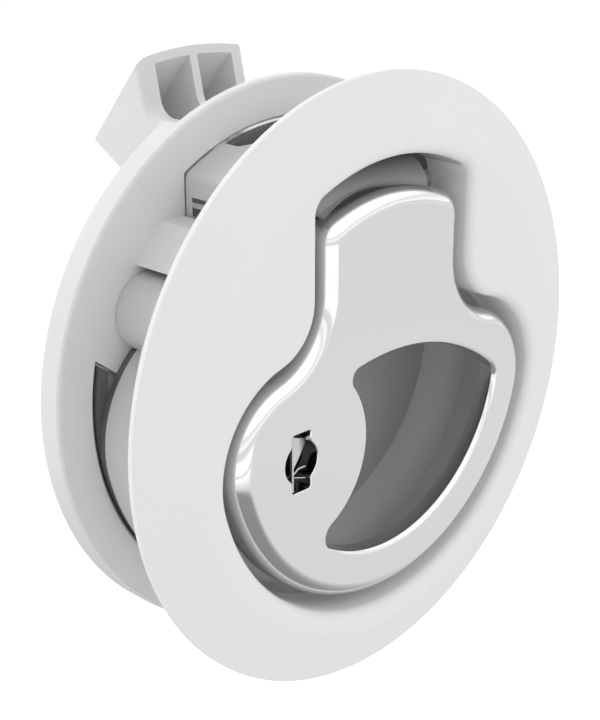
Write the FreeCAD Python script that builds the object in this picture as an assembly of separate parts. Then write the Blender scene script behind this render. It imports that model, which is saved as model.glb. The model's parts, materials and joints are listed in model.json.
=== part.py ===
import FreeCAD, Part
import math
import os

# A round flush push-to-close latch with a pull handle and a key lock, in millimetres.
# The latch axis is Y. The bezel faces -Y and its rear face seats on the panel at y = 0. +Z is up.

# Panel opening and clamped thickness
panel_hole_r = 25.4
grip = 12.35
hole_gap = 0.3

# Bezel
bezel_r = 31.0
bezel_rim = 0.6
bezel_height = 3.2
bezel_flat_r = 25.2
bezel_crest_r = 2.5
rim_round = 0.2
lip_round = 1.1

# Recess outline: a circle with a neck that rises to the top
recess_r = 22.9
neck_half = 10.9
neck_top_r = 23.4
neck_corner_r = 1.8
shoulder_r = 5.9
shoulder_z = 12.0
shoulder_sweep = 75.0

# White skirt behind the bezel, and its screw bosses
skirt_wall = 2.2
skirt_end = 11.4
nest_start = 2.75
nest_gap = 0.1
boss_x = 18.2
boss_z = 9.3
boss_r = 3.9
boss_hole_r = 1.2
boss_hole_depth = 9.0
dip_half = 8.3
dip_start = 5.0
dip_fall = 1.8
dip_wall = 0.8

# Mounting ring
ring_r = 29.2
ring_thickness = 2.8
ring_neck_half = 13.6
ring_relief_left = 1.05
ring_hole_chamfer = 0.3
ring_round = 0.35
ring_hole_gap = 0.25
web_edge_outer = (24.4, 5.6)
web_edge_inner = (21.5, 3.4)
web_gap = 0.4
pad_r = 24.7
pad_top = 17.5
pad_length = 9.0
pad_gap = 0.35
pad_tilt = 26.0

# Dark case with the finger cup
case_wall = 1.0
case_back = 17.0
cup_floor = 9.15
floor_thickness = 1.2
cup_top = 9.4
rear_wall = 1.4
window_half = 6.6
window_depth = 12.4
window_low = neck_top_r - window_depth
window_drop = 1.5
window_high = neck_top_r - window_drop
flange_thick = 0.75
flange_r = 24.9
catch_r = 22.3
catch_front = 4.0
catch_back = 5.5
catch_half = 2.4

# Hinge
pivot_y = 3.2
pivot_drop = 4.8
pivot_z = neck_top_r - pivot_drop
pin_r = 1.1
pin_gap = 0.05
hub_r = 2.6
hub_left = -6.3
hub_right = 3.5

# Return spring on the hinge pin
coil_r = 1.78
coil_wire = 0.5
coil_pitch = 0.55
coil_turns = 3.75
coil_left = 3.95
coil_leg_end = 9.7
coil_anchor_z = 10.2

# Handle
handle_gap = 1.15
handle_top_gap = 2.4
handle_top_r = neck_top_r - handle_top_gap
handle_corner_r = 2.7
handle_face = -3.1
handle_plate = 2.0
handle_depth = 3.6
handle_round = 2.2
handle_wall = 2.1
lever_half = 3.5
lever_thick = 3.0
lever_reach = 12.0
lug_right = 4.4
lug_front = 6.3
lug_back = 9.9

# Finger opening in the handle
opening_r = 16.35
opening_top_r = 25.0
opening_top_z = 4.74
opening_boss_r = 9.0
opening_corner_r = 2.3
opening_tip_r = 1.3
opening_lip = 0.7

# Lock
lock_x = -13.1
lock_z = -3.3
lock_boss_r = 5.3
lock_boss_end = 4.1
barrel_r = 3.7
barrel_bore_r = 2.7
barrel_end = 5.6
plug_r = 2.65
plug_front = -0.9
plug_hole_r = 2.13
slot_width = 2.4
slot_height = 5.9
keyway_width = 1.3
keyway_height = 4.4
tail_r = 1.4
tail_half = 1.05
cam_thick = 1.0
cam_length = 8.5
cam_half = 1.6
cam_gap = 0.15
cam_screw_head_r = 1.7
cam_screw_head = 0.9
cam_screw_r = 0.7
cam_screw_length = 2.3
wafer_count = 5
wafer_thick = 0.5
wafer_pitch = 1.0
wafer_first = 0.4
wafer_width = 3.0
wafer_gap = 0.02
clip_thick = 0.6
clip_r = 4.7
clip_groove_r = 3.3
clip_mouth = 2.6
shutter_y = -2.7
shutter_rod_r = 0.2
shutter_left = -0.98
shutter_right = 0.9
shutter_thick = 0.25
shutter_high = 2.75
shutter_tip_z = 1.6
shutter_low = -0.6

# Pawl and its slide
pawl_half = 7.2
slide_front = 10.65
slide_back = 16.6
slide_rise = 0.8
slide_top = neck_top_r + slide_rise
slide_step_y = 12.6
slide_bottom = -1.5
rail_gap = 0.2
rail_thick = 1.6
slide_gap = 0.3
pawl_top_r = 31.0
pawl_lean = 12.7
pawl_foot_y = 24.44
ramp_top = (25.76, 30.07)
ramp_end = (33.77, 20.80)
under_slope = 30.4
foot_r = 2.2
pawl_wall = 1.15
pawl_side = 1.9
pawl_edge = 1.0
rib_half = 0.5
pocket_drop = 1.5
pocket_floor = slide_top - pocket_drop
contact_gap = 0.25
roof_lead = 60.0
roof_reach = 12.0

# Pawl spring
spring_r = 2.0
spring_wire = 0.6
spring_seat = -15.5
spring_depth = 6.0
spring_turns = 8
guide_r = 1.2
guide_length = 9.0

# Rear cover and its screws
cover_thick = 1.4
cover_inset = 0.2
notch_half = 7.7
notch_low = 3.8
post_r = 2.3
post_places = ((14.6, 3.0), (14.6, -12.5))
screw_r = 1.0
screw_head_r = 1.9
screw_head = 1.2
screw_length = 6.0

# Ring screws
ring_screw_head_r = 2.8
ring_screw_head = 2.0
ring_screw_length = 9.5

far = 80.0


def vec(x, y, z):
    return FreeCAD.Vector(x, y, z)


def block(x0, x1, y0, y1, z0, z1):
    return Part.makeBox(x1 - x0, y1 - y0, z1 - z0, vec(x0, y0, z0))


def rod_y(radius, y0, y1, x=0.0, z=0.0):
    return Part.makeCylinder(radius, y1 - y0, vec(x, y0, z), vec(0, 1, 0))


def rod_x(radius, x0, x1, y, z):
    return Part.makeCylinder(radius, x1 - x0, vec(x0, y, z), vec(1, 0, 0))


def arc(cx, cz, radius, start, end):
    """An arc in the plane y = 0, from one angle to another in radians."""
    points = []
    for angle in (start, (start + end) / 2, end):
        points.append(vec(cx + radius * math.cos(angle), 0, cz + radius * math.sin(angle)))
    return Part.Arc(*points).toShape()


def line(x0, z0, x1, z1):
    return Part.LineSegment(vec(x0, 0, z0), vec(x1, 0, z1)).toShape()


def outline(circle_r, half, top_r, shoulder, corner):
    """The recess shape: a circle whose neck rises between two soft shoulders, as a face at y = 0."""
    sweep = math.radians(shoulder_sweep)
    turn_x = half + shoulder
    end_x = turn_x - shoulder * math.cos(sweep)
    end_z = shoulder_z - shoulder * math.sin(sweep)
    inward = -(end_x * math.cos(sweep) + end_z * math.sin(sweep))
    bulge = (circle_r ** 2 - end_x ** 2 - end_z ** 2) / (2 * (circle_r + inward))
    bulge_x = end_x - bulge * math.cos(sweep)
    bulge_z = end_z - bulge * math.sin(sweep)
    low = math.atan2(bulge_z, bulge_x)
    corner_x = half - corner
    corner_z = math.sqrt((top_r - corner) ** 2 - corner_x ** 2)
    high = math.atan2(corner_z, corner_x)
    edges = [
        arc(0, 0, circle_r, -math.pi - low, low),
        arc(bulge_x, bulge_z, bulge, low, sweep),
        arc(turn_x, shoulder_z, shoulder, math.pi + sweep, math.pi),
        line(half, shoulder_z, half, corner_z),
        arc(corner_x, corner_z, corner, 0, high),
        arc(0, 0, top_r, high, math.pi - high),
        arc(-corner_x, corner_z, corner, math.pi - high, math.pi),
        line(-half, corner_z, -half, shoulder_z),
        arc(-turn_x, shoulder_z, shoulder, 0, -sweep),
        arc(-bulge_x, bulge_z, bulge, math.pi - sweep, math.pi - low),
    ]
    return Part.Face(Part.Wire(edges))


def recess_outline(offset):
    return outline(recess_r + offset, neck_half + offset, neck_top_r + offset,
                   shoulder_r - offset, neck_corner_r + offset)


def slab(face, y0, y1):
    """A face drawn at y = 0, pulled from y0 to y1."""
    moved = face.copy()
    moved.translate(vec(0, y0, 0))
    return moved.extrude(vec(0, y1 - y0, 0))


def rounded_profile(corners, place):
    """A closed face through corners (u, v, radius); place turns (u, v) into a point."""
    count = len(corners)
    starts = []
    for index in range(count):
        before = corners[index - 1]
        here = corners[index]
        after = corners[(index + 1) % count]
        into = (before[0] - here[0], before[1] - here[1])
        away = (after[0] - here[0], after[1] - here[1])
        into_length = math.hypot(*into)
        away_length = math.hypot(*away)
        into = (into[0] / into_length, into[1] / into_length)
        away = (away[0] / away_length, away[1] / away_length)
        angle = math.acos(max(-1.0, min(1.0, into[0] * away[0] + into[1] * away[1])))
        reach = here[2] / math.tan(angle / 2)
        middle = (into[0] + away[0], into[1] + away[1])
        middle_length = math.hypot(*middle)
        depth = here[2] / math.sin(angle / 2) - here[2]
        first = (here[0] + into[0] * reach, here[1] + into[1] * reach)
        last = (here[0] + away[0] * reach, here[1] + away[1] * reach)
        centre = here[:2]
        if here[2] > 0:
            centre = (here[0] + middle[0] / middle_length * depth,
                      here[1] + middle[1] / middle_length * depth)
        starts.append((first, centre, last, here[2]))
    edges = []
    for index in range(count):
        first, centre, last, radius = starts[index]
        following = starts[(index + 1) % count][0]
        if radius > 0:
            edges.append(Part.Arc(place(*first), place(*centre), place(*last)).toShape())
        edges.append(Part.LineSegment(place(*last), place(*following)).toShape())
    return Part.Face(Part.Wire(edges))


def side_profile(corners, x0, x1):
    """A profile of (y, z, radius) corners, pulled from x0 to x1."""
    face = rounded_profile(corners, lambda y, z: vec(x0, y, z))
    return face.extrude(vec(x1 - x0, 0, 0))


def turned(corners):
    """A profile of (radius, y, corner radius) turned about the latch axis."""
    face = rounded_profile(corners, lambda radius, y: vec(radius, y, 0))
    return face.revolve(vec(0, 0, 0), vec(0, 1, 0), 360)


def both_sides(shape):
    """The shape and its mirror image across x = 0."""
    return [shape, shape.mirror(vec(0, 0, 0), vec(1, 0, 0))]


def edges_where(shape, test):
    return [edge for edge in shape.Edges if test(edge)]


def lies_at_y(edge, y):
    return abs(edge.BoundBox.YMin - y) < 1e-4 and abs(edge.BoundBox.YMax - y) < 1e-4


def circles_at(shape, radius, y):
    """The round edges of one radius that lie in the plane at y."""
    return edges_where(shape, lambda edge: edge.Curve.TypeId == "Part::GeomCircle"
                       and abs(edge.Curve.Radius - radius) < 1e-4 and lies_at_y(edge, y))


def helix(radius, wire, pitch, turns, base, axis):
    """A coil of round wire that climbs from base along axis."""
    path = Part.makeHelix(pitch, pitch * turns, radius)
    section = Part.Wire(Part.makeCircle(wire / 2, vec(radius, 0, 0), vec(0, 1, 0)))
    coil = path.makePipeShell([section], True, True)
    coil.Placement = FreeCAD.Placement(base, FreeCAD.Rotation(vec(0, 0, 1), axis))
    return coil


def make_bezel_disc():
    corners = [
        (0, 0, 0),
        (bezel_r, 0, 0),
        (bezel_r, -bezel_rim, rim_round),
        (bezel_flat_r, -bezel_height, bezel_crest_r),
        (0, -bezel_height, 0),
    ]
    return turned(corners)


def make_housing():
    """Bezel, recess wall, skirt and screw bosses in one moulding."""
    body = make_bezel_disc()
    skirt = slab(recess_outline(skirt_wall), -bezel_rim / 2, skirt_end)
    skirt = skirt.common(rod_y(panel_hole_r - hole_gap, -bezel_height, skirt_end))
    body = body.fuse(skirt)
    for boss in both_sides(rod_y(boss_r, -bezel_rim / 2, grip, boss_x, boss_z)):
        body = body.fuse(boss)
    body = body.cut(slab(recess_outline(0), -bezel_height - 1, grip + 1))
    lip = edges_where(body, lambda edge: lies_at_y(edge, -bezel_height)
                      and edge.BoundBox.DiagonalLength < 2.1 * bezel_flat_r
                      and not is_full_circle(edge))
    body = body.makeFillet(lip_round, lip)
    body = body.cut(dip_cutter(0, 0))
    nest = slab(recess_outline(case_wall + nest_gap), nest_start, grip + 1)
    body = body.cut(nest.cut(dip_cutter(dip_wall, 0)))
    for hole in both_sides(rod_y(boss_hole_r, grip - boss_hole_depth, grip + 1, boss_x, boss_z)):
        body = body.cut(hole)
    for hole in both_sides(rod_x(pin_r, neck_half - 1, neck_half + skirt_wall / 2 + case_wall / 2,
                                 pivot_y, pivot_z)):
        body = body.cut(hole)
    return body.removeSplitter()


def dip_cutter(drop, side):
    """Everything above the sloping dip in the skirt's top, lowered by drop and widened by side."""
    run = skirt_end - dip_start
    high = panel_hole_r - hole_gap - drop
    corners = [
        (dip_start - run / 4, high + dip_fall / 4, 0),
        (skirt_end + run, high - 2 * dip_fall, 0),
        (skirt_end + run, far, 0),
        (dip_start - run / 4, far, 0),
    ]
    return side_profile(corners, -dip_half - side, dip_half + side)


def is_full_circle(edge):
    return len(edge.Vertexes) == 1


def web_cutter():
    """The half-plane below the web's lower edge, on the right side."""
    run = (web_edge_outer[0] - web_edge_inner[0], web_edge_outer[1] - web_edge_inner[1])
    slope = run[1] / run[0]
    left_z = web_edge_inner[1] - slope * web_edge_inner[0]
    right_z = web_edge_inner[1] + slope * (far - web_edge_inner[0])
    corners = [vec(0, 0, left_z), vec(far, 0, right_z), vec(far, 0, -far), vec(0, 0, -far), vec(0, 0, left_z)]
    return Part.Face(Part.makePolygon(corners))


def make_ring():
    """The loose ring behind the panel, with its two webs and two locating pads."""
    front = grip
    back = grip + ring_thickness
    ring = rod_y(ring_r, front, back)
    disc = rod_y(panel_hole_r, front - 1, back + 1)
    neck = block(-ring_neck_half, ring_neck_half, front - 1, back + 1, 0, far)
    around_case = slab(recess_outline(case_wall + web_gap), front - 1, back + 1)
    opening = around_case.fuse(neck)
    for half in both_sides(slab(web_cutter(), front - 1, back + 1)):
        opening = opening.fuse(half)
    ring = ring.cut(opening.common(disc))
    relief = block(-ring_neck_half, ring_neck_half, front + ring_relief_left, back + 1, 0, far)
    ring = ring.cut(relief)
    ring = ring.makeFillet(ring_round, circles_at(ring, ring_r, front))
    ring = ring.makeChamfer(ring_hole_chamfer, circles_at(ring, panel_hole_r, front))
    for pad in both_sides(make_pad()):
        ring = ring.fuse(pad)
    for hole in both_sides(rod_y(boss_hole_r + ring_hole_gap, front - 1, back + 1, boss_x, boss_z)):
        ring = ring.cut(hole)
    return ring.removeSplitter()


def make_pad():
    """The pad that fills the corner between neck wall and screw boss, on the right side."""
    front = grip - pad_length
    back = grip + ring_thickness / 2
    side = neck_half + skirt_wall + pad_gap
    pad = rod_y(pad_r, front, back)
    pad = pad.common(block(side, far, front, back, 0, pad_top))
    pad = pad.cut(slab(recess_outline(skirt_wall + pad_gap), front - 1, back + 1))
    below = block(-far, far, 0, far, -far, boss_r + pad_gap)
    turn = FreeCAD.Rotation(vec(0, 1, 0), -pad_tilt)
    below.Placement = FreeCAD.Placement(vec(boss_x, front - 1, boss_z), turn)
    return pad.cut(below)


def make_ring_screw(x):
    """A pan-head screw through a web of the ring into its boss."""
    seat = grip + ring_thickness
    shank = rod_y(boss_hole_r, seat - ring_screw_length, seat + 0.01, x, boss_z)
    head = rod_y(ring_screw_head_r, seat, seat + ring_screw_head, x, boss_z)
    rim = edges_where(head, lambda edge: lies_at_y(edge, seat + ring_screw_head))
    head = head.makeFillet(ring_screw_head * 0.45, rim)
    depth = ring_screw_head * 0.6
    for turn in (0, 90):
        slot = block(-ring_screw_head_r * 0.6, ring_screw_head_r * 0.6,
                     seat + ring_screw_head - depth, seat + ring_screw_head + 1, -0.35, 0.35)
        slot.rotate(vec(0, 0, 0), vec(0, 1, 0), turn)
        slot.translate(vec(x, 0, boss_z))
        head = head.cut(slot)
    return head.fuse(shank).removeSplitter()


def make_case():
    """The dark case: finger cup below, hinge lugs in the neck, slide guides behind."""
    body = slab(recess_outline(case_wall), nest_start, case_back)
    cup = slab(recess_outline(0), nest_start - 1, cup_floor)
    cup = cup.common(block(-far, far, 0, far, -far, cup_top))
    body = body.cut(cup)
    rear = slab(recess_outline(case_wall - rear_wall), cup_floor + floor_thickness, case_back + 1)
    body = body.cut(rear)
    body = body.cut(block(-window_half, window_half, nest_start - 1, case_back, window_low, window_high))
    body = body.cut(notch_cutter(case_back + 1))
    body = body.cut(block(-notch_half, notch_half, slide_step_y - slide_gap, far, window_high - 1, far))
    body = body.cut(dip_cutter(dip_wall + nest_gap, nest_gap))
    body = body.cut(block(-notch_half, notch_half, slide_front - slide_gap, far, pivot_z, window_high + slide_gap))
    rail_in = pawl_half + rail_gap
    rails = block(rail_in, rail_in + rail_thick, cup_floor + floor_thickness / 2, case_back, spring_seat, cup_top)
    uppers = block(rail_in, neck_half, cup_floor + floor_thickness / 2, case_back, cup_top - 1, window_high)
    for side in both_sides(rails.fuse(uppers)):
        body = body.fuse(side)
    shelf = block(-rail_in - rail_thick, rail_in + rail_thick, cup_floor + floor_thickness / 2, case_back,
                  spring_seat - rail_thick, spring_seat)
    body = body.fuse(shelf)
    for x, z in post_places:
        for post in both_sides(rod_y(post_r, cup_floor + floor_thickness / 2, case_back, x, z)):
            body = body.fuse(post)
        for hole in both_sides(rod_y(screw_r, case_back - screw_length + cover_thick, case_back + 1, x, z)):
            body = body.cut(hole)
    body = body.fuse(make_flange()).fuse(make_catch())
    anchor = Part.makeCylinder(coil_wire / 2 + wafer_gap, far, coil_anchor_point(coil_anchor_z - 0.1))
    body = body.cut(anchor.common(block(-far, far, 0, far, 0, window_low + 1)))
    body = body.cut(rod_x(pin_r, -far, far, pivot_y, pivot_z))
    return body.removeSplitter()


def make_flange():
    """The case's dark lip behind the skirt, below the ring's webs."""
    front = skirt_end + nest_gap
    flange = slab(recess_outline(skirt_wall - nest_gap), front, front + flange_thick)
    flange = flange.common(rod_y(flange_r, front - 1, front + flange_thick + 1))
    flange = flange.cut(slab(recess_outline(0), front - 1, front + flange_thick + 1))
    for boss in both_sides(rod_y(boss_r + nest_gap, front - 1, front + flange_thick + 1, boss_x, boss_z)):
        flange = flange.cut(boss)
    return flange


def make_catch():
    """The rib on the cup's wall that the lock's tongue goes behind."""
    rib = rod_y(recess_r + case_wall / 2, catch_front, catch_back).cut(rod_y(catch_r, 0, far))
    return rib.common(block(-far, 0, 0, far, lock_z - catch_half, lock_z + catch_half))


def notch_cutter(back):
    """The open slot at the top of the case and its cover that the pawl's neck runs in."""
    return block(-notch_half, notch_half, slide_back, back, notch_low, far)


def make_cover():
    """The plate that closes the case from behind, with the slot for the pawl's neck."""
    cover = slab(recess_outline(case_wall - cover_inset), case_back, case_back + cover_thick)
    cover = cover.cut(notch_cutter(case_back + cover_thick + 1))
    for x, z in post_places:
        for hole in both_sides(rod_y(screw_r + 0.15, case_back - 1, case_back + cover_thick + 1, x, z)):
            cover = cover.cut(hole)
    return cover


def make_cover_screw(x, z):
    seat = case_back + cover_thick
    shank = rod_y(screw_r, seat - screw_length, seat, x, z)
    head = rod_y(screw_head_r, seat, seat + screw_head, x, z)
    rim = edges_where(head, lambda edge: lies_at_y(edge, seat + screw_head))
    head = head.makeFillet(screw_head * 0.5, rim)
    slot = block(x - far, x + far, seat + screw_head * 0.5, seat + far, z - 0.3, z + 0.3)
    return head.cut(slot).fuse(shank).removeSplitter()


def make_hinge_pin():
    end = neck_half + skirt_wall / 2 + case_wall / 2
    return rod_x(pin_r, -end, end, pivot_y, pivot_z)


def coil_anchor_point(z):
    """A point at height z on the return spring's fixed leg."""
    return vec(coil_left + coil_pitch * coil_turns, pivot_y + coil_r, z)


def make_return_spring():
    """A torsion spring of one wire: up from the case, left-handed round the pin, then under the lever's lug."""
    path = Part.makeHelix(coil_pitch, coil_pitch * coil_turns, coil_r, 0, True)
    turn = FreeCAD.Rotation(vec(0, 1, 0), vec(0, 0, -1), vec(-1, 0, 0), "ZXY")
    path.Placement = FreeCAD.Placement(vec(coil_left + coil_pitch * coil_turns, pivot_y, pivot_z), turn)
    coil = path.Edges[0]
    first = coil.valueAt(coil.FirstParameter)
    last = coil.valueAt(coil.LastParameter)
    foot = coil_anchor_point(coil_anchor_z)
    fixed = Part.LineSegment(foot, first).toShape()
    moving = Part.LineSegment(last, vec(last.x, coil_leg_end, last.z)).toShape()
    section = Part.Wire(Part.makeCircle(coil_wire / 2, foot, vec(0, 0, 1)))
    return Part.Wire([fixed, coil, moving]).makePipeShell([section], True, False)


def make_opening():
    """The finger opening: an outer arc about the latch axis, a flatter top arc, and the lock's own arc."""
    front = handle_face - 1
    back = handle_face + handle_depth + 1
    cutter = rod_y(opening_r, front, back)
    cutter = cutter.common(rod_y(opening_top_r, front, back, 0, opening_top_z - opening_top_r))
    cutter = cutter.cut(rod_y(opening_boss_r, front, back, lock_x, lock_z))
    sides = edges_where(cutter, lambda edge: edge.BoundBox.YLength > handle_depth
                        and edge.BoundBox.XLength < 1e-4)
    right = max(sides, key=lambda edge: edge.BoundBox.XMin)
    low = min(sides, key=lambda edge: edge.BoundBox.ZMin)
    cutter = cutter.makeFillet(opening_corner_r, [right])
    low = [edge for edge in cutter.Edges if edge.BoundBox.XLength < 1e-4
           and abs(edge.BoundBox.ZMin - low.BoundBox.ZMin) < 1e-3 and edge.BoundBox.YLength > handle_depth]
    return cutter.makeFillet(opening_tip_r, low)


def make_handle():
    """The pull: a shallow shell with a finger opening, a hinge hub and lever, and the lock's boss."""
    circle = recess_r - handle_gap
    half = neck_half - handle_gap
    back = handle_face + handle_depth
    body = slab(outline(circle, half, handle_top_r, shoulder_r + handle_gap, handle_corner_r),
                handle_face, back)
    front_edges = edges_where(body, lambda edge: lies_at_y(edge, handle_face))
    body = body.makeFillet(handle_round, front_edges)
    inner = outline(circle - handle_wall, half - handle_wall, handle_top_r - handle_wall,
                    shoulder_r + handle_gap + handle_wall, handle_corner_r - handle_wall)
    plate_back = handle_face + handle_plate
    body = body.cut(slab(inner, plate_back, back + 1))
    body = body.cut(make_opening())
    lip = edges_where(body, lambda edge: lies_at_y(edge, handle_face)
                      and edge.CenterOfMass.Length < opening_r + abs(handle_face))
    body = body.makeFillet(opening_lip, lip)
    body = body.fuse(rod_y(lock_boss_r, plate_back - 0.2, lock_boss_end, lock_x, lock_z))
    hub = rod_x(hub_r, hub_left, hub_right, pivot_y, pivot_z)
    neck = block(hub_left, hub_right, plate_back - 0.2, pivot_y, pivot_z - hub_r, pivot_z + hub_r * 0.7)
    body = body.fuse(hub).fuse(neck)
    body = body.fuse(make_lever())
    body = body.cut(rod_x(pin_r + pin_gap, hub_left - 1, hub_right + 1, pivot_y, pivot_z))
    body = body.cut(rod_y(barrel_r, plate_back, barrel_end + 1, lock_x, lock_z))
    body = body.cut(rod_y(plug_hole_r, handle_face - 1, plate_back + 1, lock_x, lock_z))
    body = body.cut(block(lock_x - slot_width / 2, lock_x + slot_width / 2, handle_face - 1, plate_back + 1,
                          lock_z - slot_height / 2, lock_z + slot_height / 2))
    return body.removeSplitter()


def make_lever():
    """The arm behind the hinge that pushes the slide down, with a lug for the return spring."""
    top = lever_thick / 2
    corners = [
        (pivot_y, pivot_z + top, 0),
        (pivot_y + lever_reach, pivot_z + top, top * 0.6),
        (pivot_y + lever_reach, pivot_z - top, 0.3),
        (pivot_y, pivot_z - top, 0),
    ]
    lug = block(lever_half - 1, lug_right, lug_front, lug_back, pivot_z - top, pivot_z)
    return side_profile(corners, -lever_half, lever_half).fuse(lug)


def make_barrel():
    """The lock's sleeve, fixed in the handle's boss, with a groove for its clip."""
    front = handle_face + handle_plate
    sleeve = rod_y(barrel_r, front, barrel_end, lock_x, lock_z)
    groove = rod_y(barrel_r + 1, lock_boss_end, lock_boss_end + clip_thick, lock_x, lock_z)
    sleeve = sleeve.cut(groove.cut(rod_y(clip_groove_r, 0, barrel_end, lock_x, lock_z)))
    return sleeve.cut(rod_y(barrel_bore_r, front - 1, barrel_end + 1, lock_x, lock_z))


def make_clip():
    """The open clip in the barrel's groove, behind the boss."""
    clip = rod_y(clip_r, lock_boss_end, lock_boss_end + clip_thick, lock_x, lock_z)
    clip = clip.cut(rod_y(clip_groove_r, 0, barrel_end, lock_x, lock_z))
    return clip.cut(block(lock_x - clip_mouth, lock_x + clip_mouth, 0, barrel_end, lock_z, far))


def make_shutter():
    """The small flap just inside the key slot: an upright hinge rod and a three-cornered tab."""
    hinge = vec(lock_x + shutter_left, shutter_y, lock_z - shutter_high)
    rod = Part.makeCylinder(shutter_rod_r, 2 * shutter_high, hinge)
    corners = [
        vec(lock_x + shutter_left, shutter_y, lock_z + shutter_high),
        vec(lock_x + shutter_right, shutter_y, lock_z + shutter_tip_z),
        vec(lock_x + shutter_left, shutter_y, lock_z + shutter_low),
    ]
    tab = Part.Face(Part.makePolygon(corners + corners[:1])).extrude(vec(0, shutter_thick, 0))
    tab.translate(vec(0, -shutter_thick / 2, 0))
    return rod.fuse(tab).removeSplitter()


def wafer_spans():
    """Where each wafer lies along the plug."""
    spans = []
    for index in range(wafer_count):
        start = wafer_first + index * wafer_pitch
        spans.append((start, start + wafer_thick))
    return spans


def make_plug():
    """The turning plug: keyway, wafer slots, and a tail with flats for the cam."""
    plug = rod_y(plug_r, plug_front, barrel_end + cam_gap, lock_x, lock_z)
    keyway = block(lock_x - keyway_width / 2, lock_x + keyway_width / 2, plug_front - 1,
                   barrel_end - 0.6, lock_z - keyway_height / 2, lock_z + keyway_height / 2)
    plug = plug.cut(keyway)
    for start, end in wafer_spans():
        plug = plug.cut(block(lock_x - wafer_width / 2 - wafer_gap, lock_x + wafer_width / 2 + wafer_gap,
                              start - wafer_gap, end + wafer_gap, lock_z - plug_r, lock_z + plug_r))
    tail_end = barrel_end + cam_gap + cam_thick
    tail = rod_y(tail_r, barrel_end, tail_end, lock_x, lock_z)
    tail = tail.common(tail_flats())
    plug = plug.fuse(tail)
    return plug.cut(cam_screw_shank()).removeSplitter()


def tail_flats():
    return block(lock_x - tail_half, lock_x + tail_half, 0, far, lock_z - far, lock_z + far)


def make_wafer(start, end):
    """A plate with a square window that the key passes through."""
    reach = math.sqrt(plug_r ** 2 - (wafer_width / 2) ** 2)
    wafer = block(lock_x - wafer_width / 2, lock_x + wafer_width / 2, start, end,
                  lock_z - reach, lock_z + reach)
    window = block(lock_x - keyway_width / 2 - 0.1, lock_x + keyway_width / 2 + 0.1, start - 1, end + 1,
                   lock_z - keyway_height * 0.3, lock_z + keyway_height * 0.3)
    return wafer.cut(window)


def make_cam():
    """The locking tongue, pointing down while the latch is unlocked."""
    front = barrel_end + cam_gap
    back = front + cam_thick
    hub = rod_y(cam_half * 1.5, front, back, lock_x, lock_z)
    tongue = block(lock_x - cam_half, lock_x + cam_half, front, back, lock_z - cam_length + cam_half, lock_z)
    tip = rod_y(cam_half, front, back, lock_x, lock_z - cam_length + cam_half)
    cam = hub.fuse(tongue).fuse(tip)
    return cam.cut(rod_y(tail_r, front - 1, back + 1, lock_x, lock_z).common(tail_flats())).removeSplitter()


def cam_screw_shank():
    seat = barrel_end + cam_gap + cam_thick
    return rod_y(cam_screw_r, seat - cam_screw_length, seat, lock_x, lock_z)


def make_cam_screw():
    seat = barrel_end + cam_gap + cam_thick
    head = rod_y(cam_screw_head_r, seat, seat + cam_screw_head, lock_x, lock_z)
    rim = edges_where(head, lambda edge: lies_at_y(edge, seat + cam_screw_head))
    head = head.makeFillet(cam_screw_head * 0.4, rim)
    slot = block(lock_x - far, lock_x + far, seat + cam_screw_head * 0.5, far, lock_z - 0.25, lock_z + 0.25)
    return head.cut(slot).fuse(cam_screw_shank()).removeSplitter()


def make_slide_and_pawl():
    """One moulding: the slide in its guides, a neck through the cover, and the ramped head."""
    slide = block(-pawl_half, pawl_half, slide_front, slide_back, slide_bottom, window_high)
    slide = slide.fuse(block(-pawl_half, pawl_half, slide_step_y, slide_back, slide_bottom, slide_top))
    slide = slide.cut(lever_window())
    slide = slide.cut(spring_bore())
    return slide.fuse(make_pawl_head()).removeSplitter()


def lever_window():
    """The opening in the slide: its floor is what the lever pushes down."""
    floor = pivot_z - lever_thick / 2 - contact_gap
    roof = pivot_z + lever_thick / 2 + contact_gap
    corners = [
        (slide_front - 1, floor, 0),
        (slide_back + 1, floor, 0),
        (slide_back + 1, roof, 0),
        (slide_front - 1, slide_top - 1, 0),
    ]
    return side_profile(corners, -lever_half - 0.4, lever_half + 0.4)


def spring_bore():
    bore = Part.makeCylinder(spring_r + spring_wire, spring_depth + 1,
                             vec(0, spring_y(), slide_bottom - 1), vec(0, 0, 1))
    return bore


def spring_y():
    return (slide_front + slide_back) / 2


def under_line(y):
    """Height of the head's sloping underside."""
    return ramp_end[1] - (ramp_end[0] - y) * math.tan(math.radians(under_slope))


def make_pawl_head():
    """The ramped head, hollow from the front, with one rib in the middle."""
    lean = math.tan(math.radians(pawl_lean))
    front_high = 40.0
    corners = [
        (slide_back - 0.5, under_line(slide_back - 0.5), 0),
        (ramp_end[0], ramp_end[1], 0.3),
        (ramp_end[0], front_high, 0),
        (pawl_foot_y + (front_high - slide_top) * lean, front_high, 0),
        (pawl_foot_y, slide_top, foot_r),
        (slide_back - 0.5, slide_top, 0),
    ]
    head = side_profile(corners, -pawl_half, pawl_half)
    upright = edges_where(head, lambda edge: edge.BoundBox.XLength < 1e-4 and edge.BoundBox.ZMax > front_high - 1
                          and edge.BoundBox.ZMin < slide_top + 2 * foot_r and edge.BoundBox.YMin < pawl_foot_y + 1)
    head = head.makeFillet(pawl_edge, upright)
    head = head.common(roof_solid(0))
    hollow_corners = [
        (slide_back + 0.5, pocket_floor, 0),
        (ramp_end[0] - pawl_wall, pocket_floor, 0),
        (ramp_end[0] - pawl_wall, front_high, 0),
        (slide_back + 0.5, front_high, 0),
    ]
    for side in both_sides(side_profile(hollow_corners, rib_half, pawl_half - pawl_side)):
        head = head.cut(side.common(roof_solid(pawl_wall)))
    return head


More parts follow.
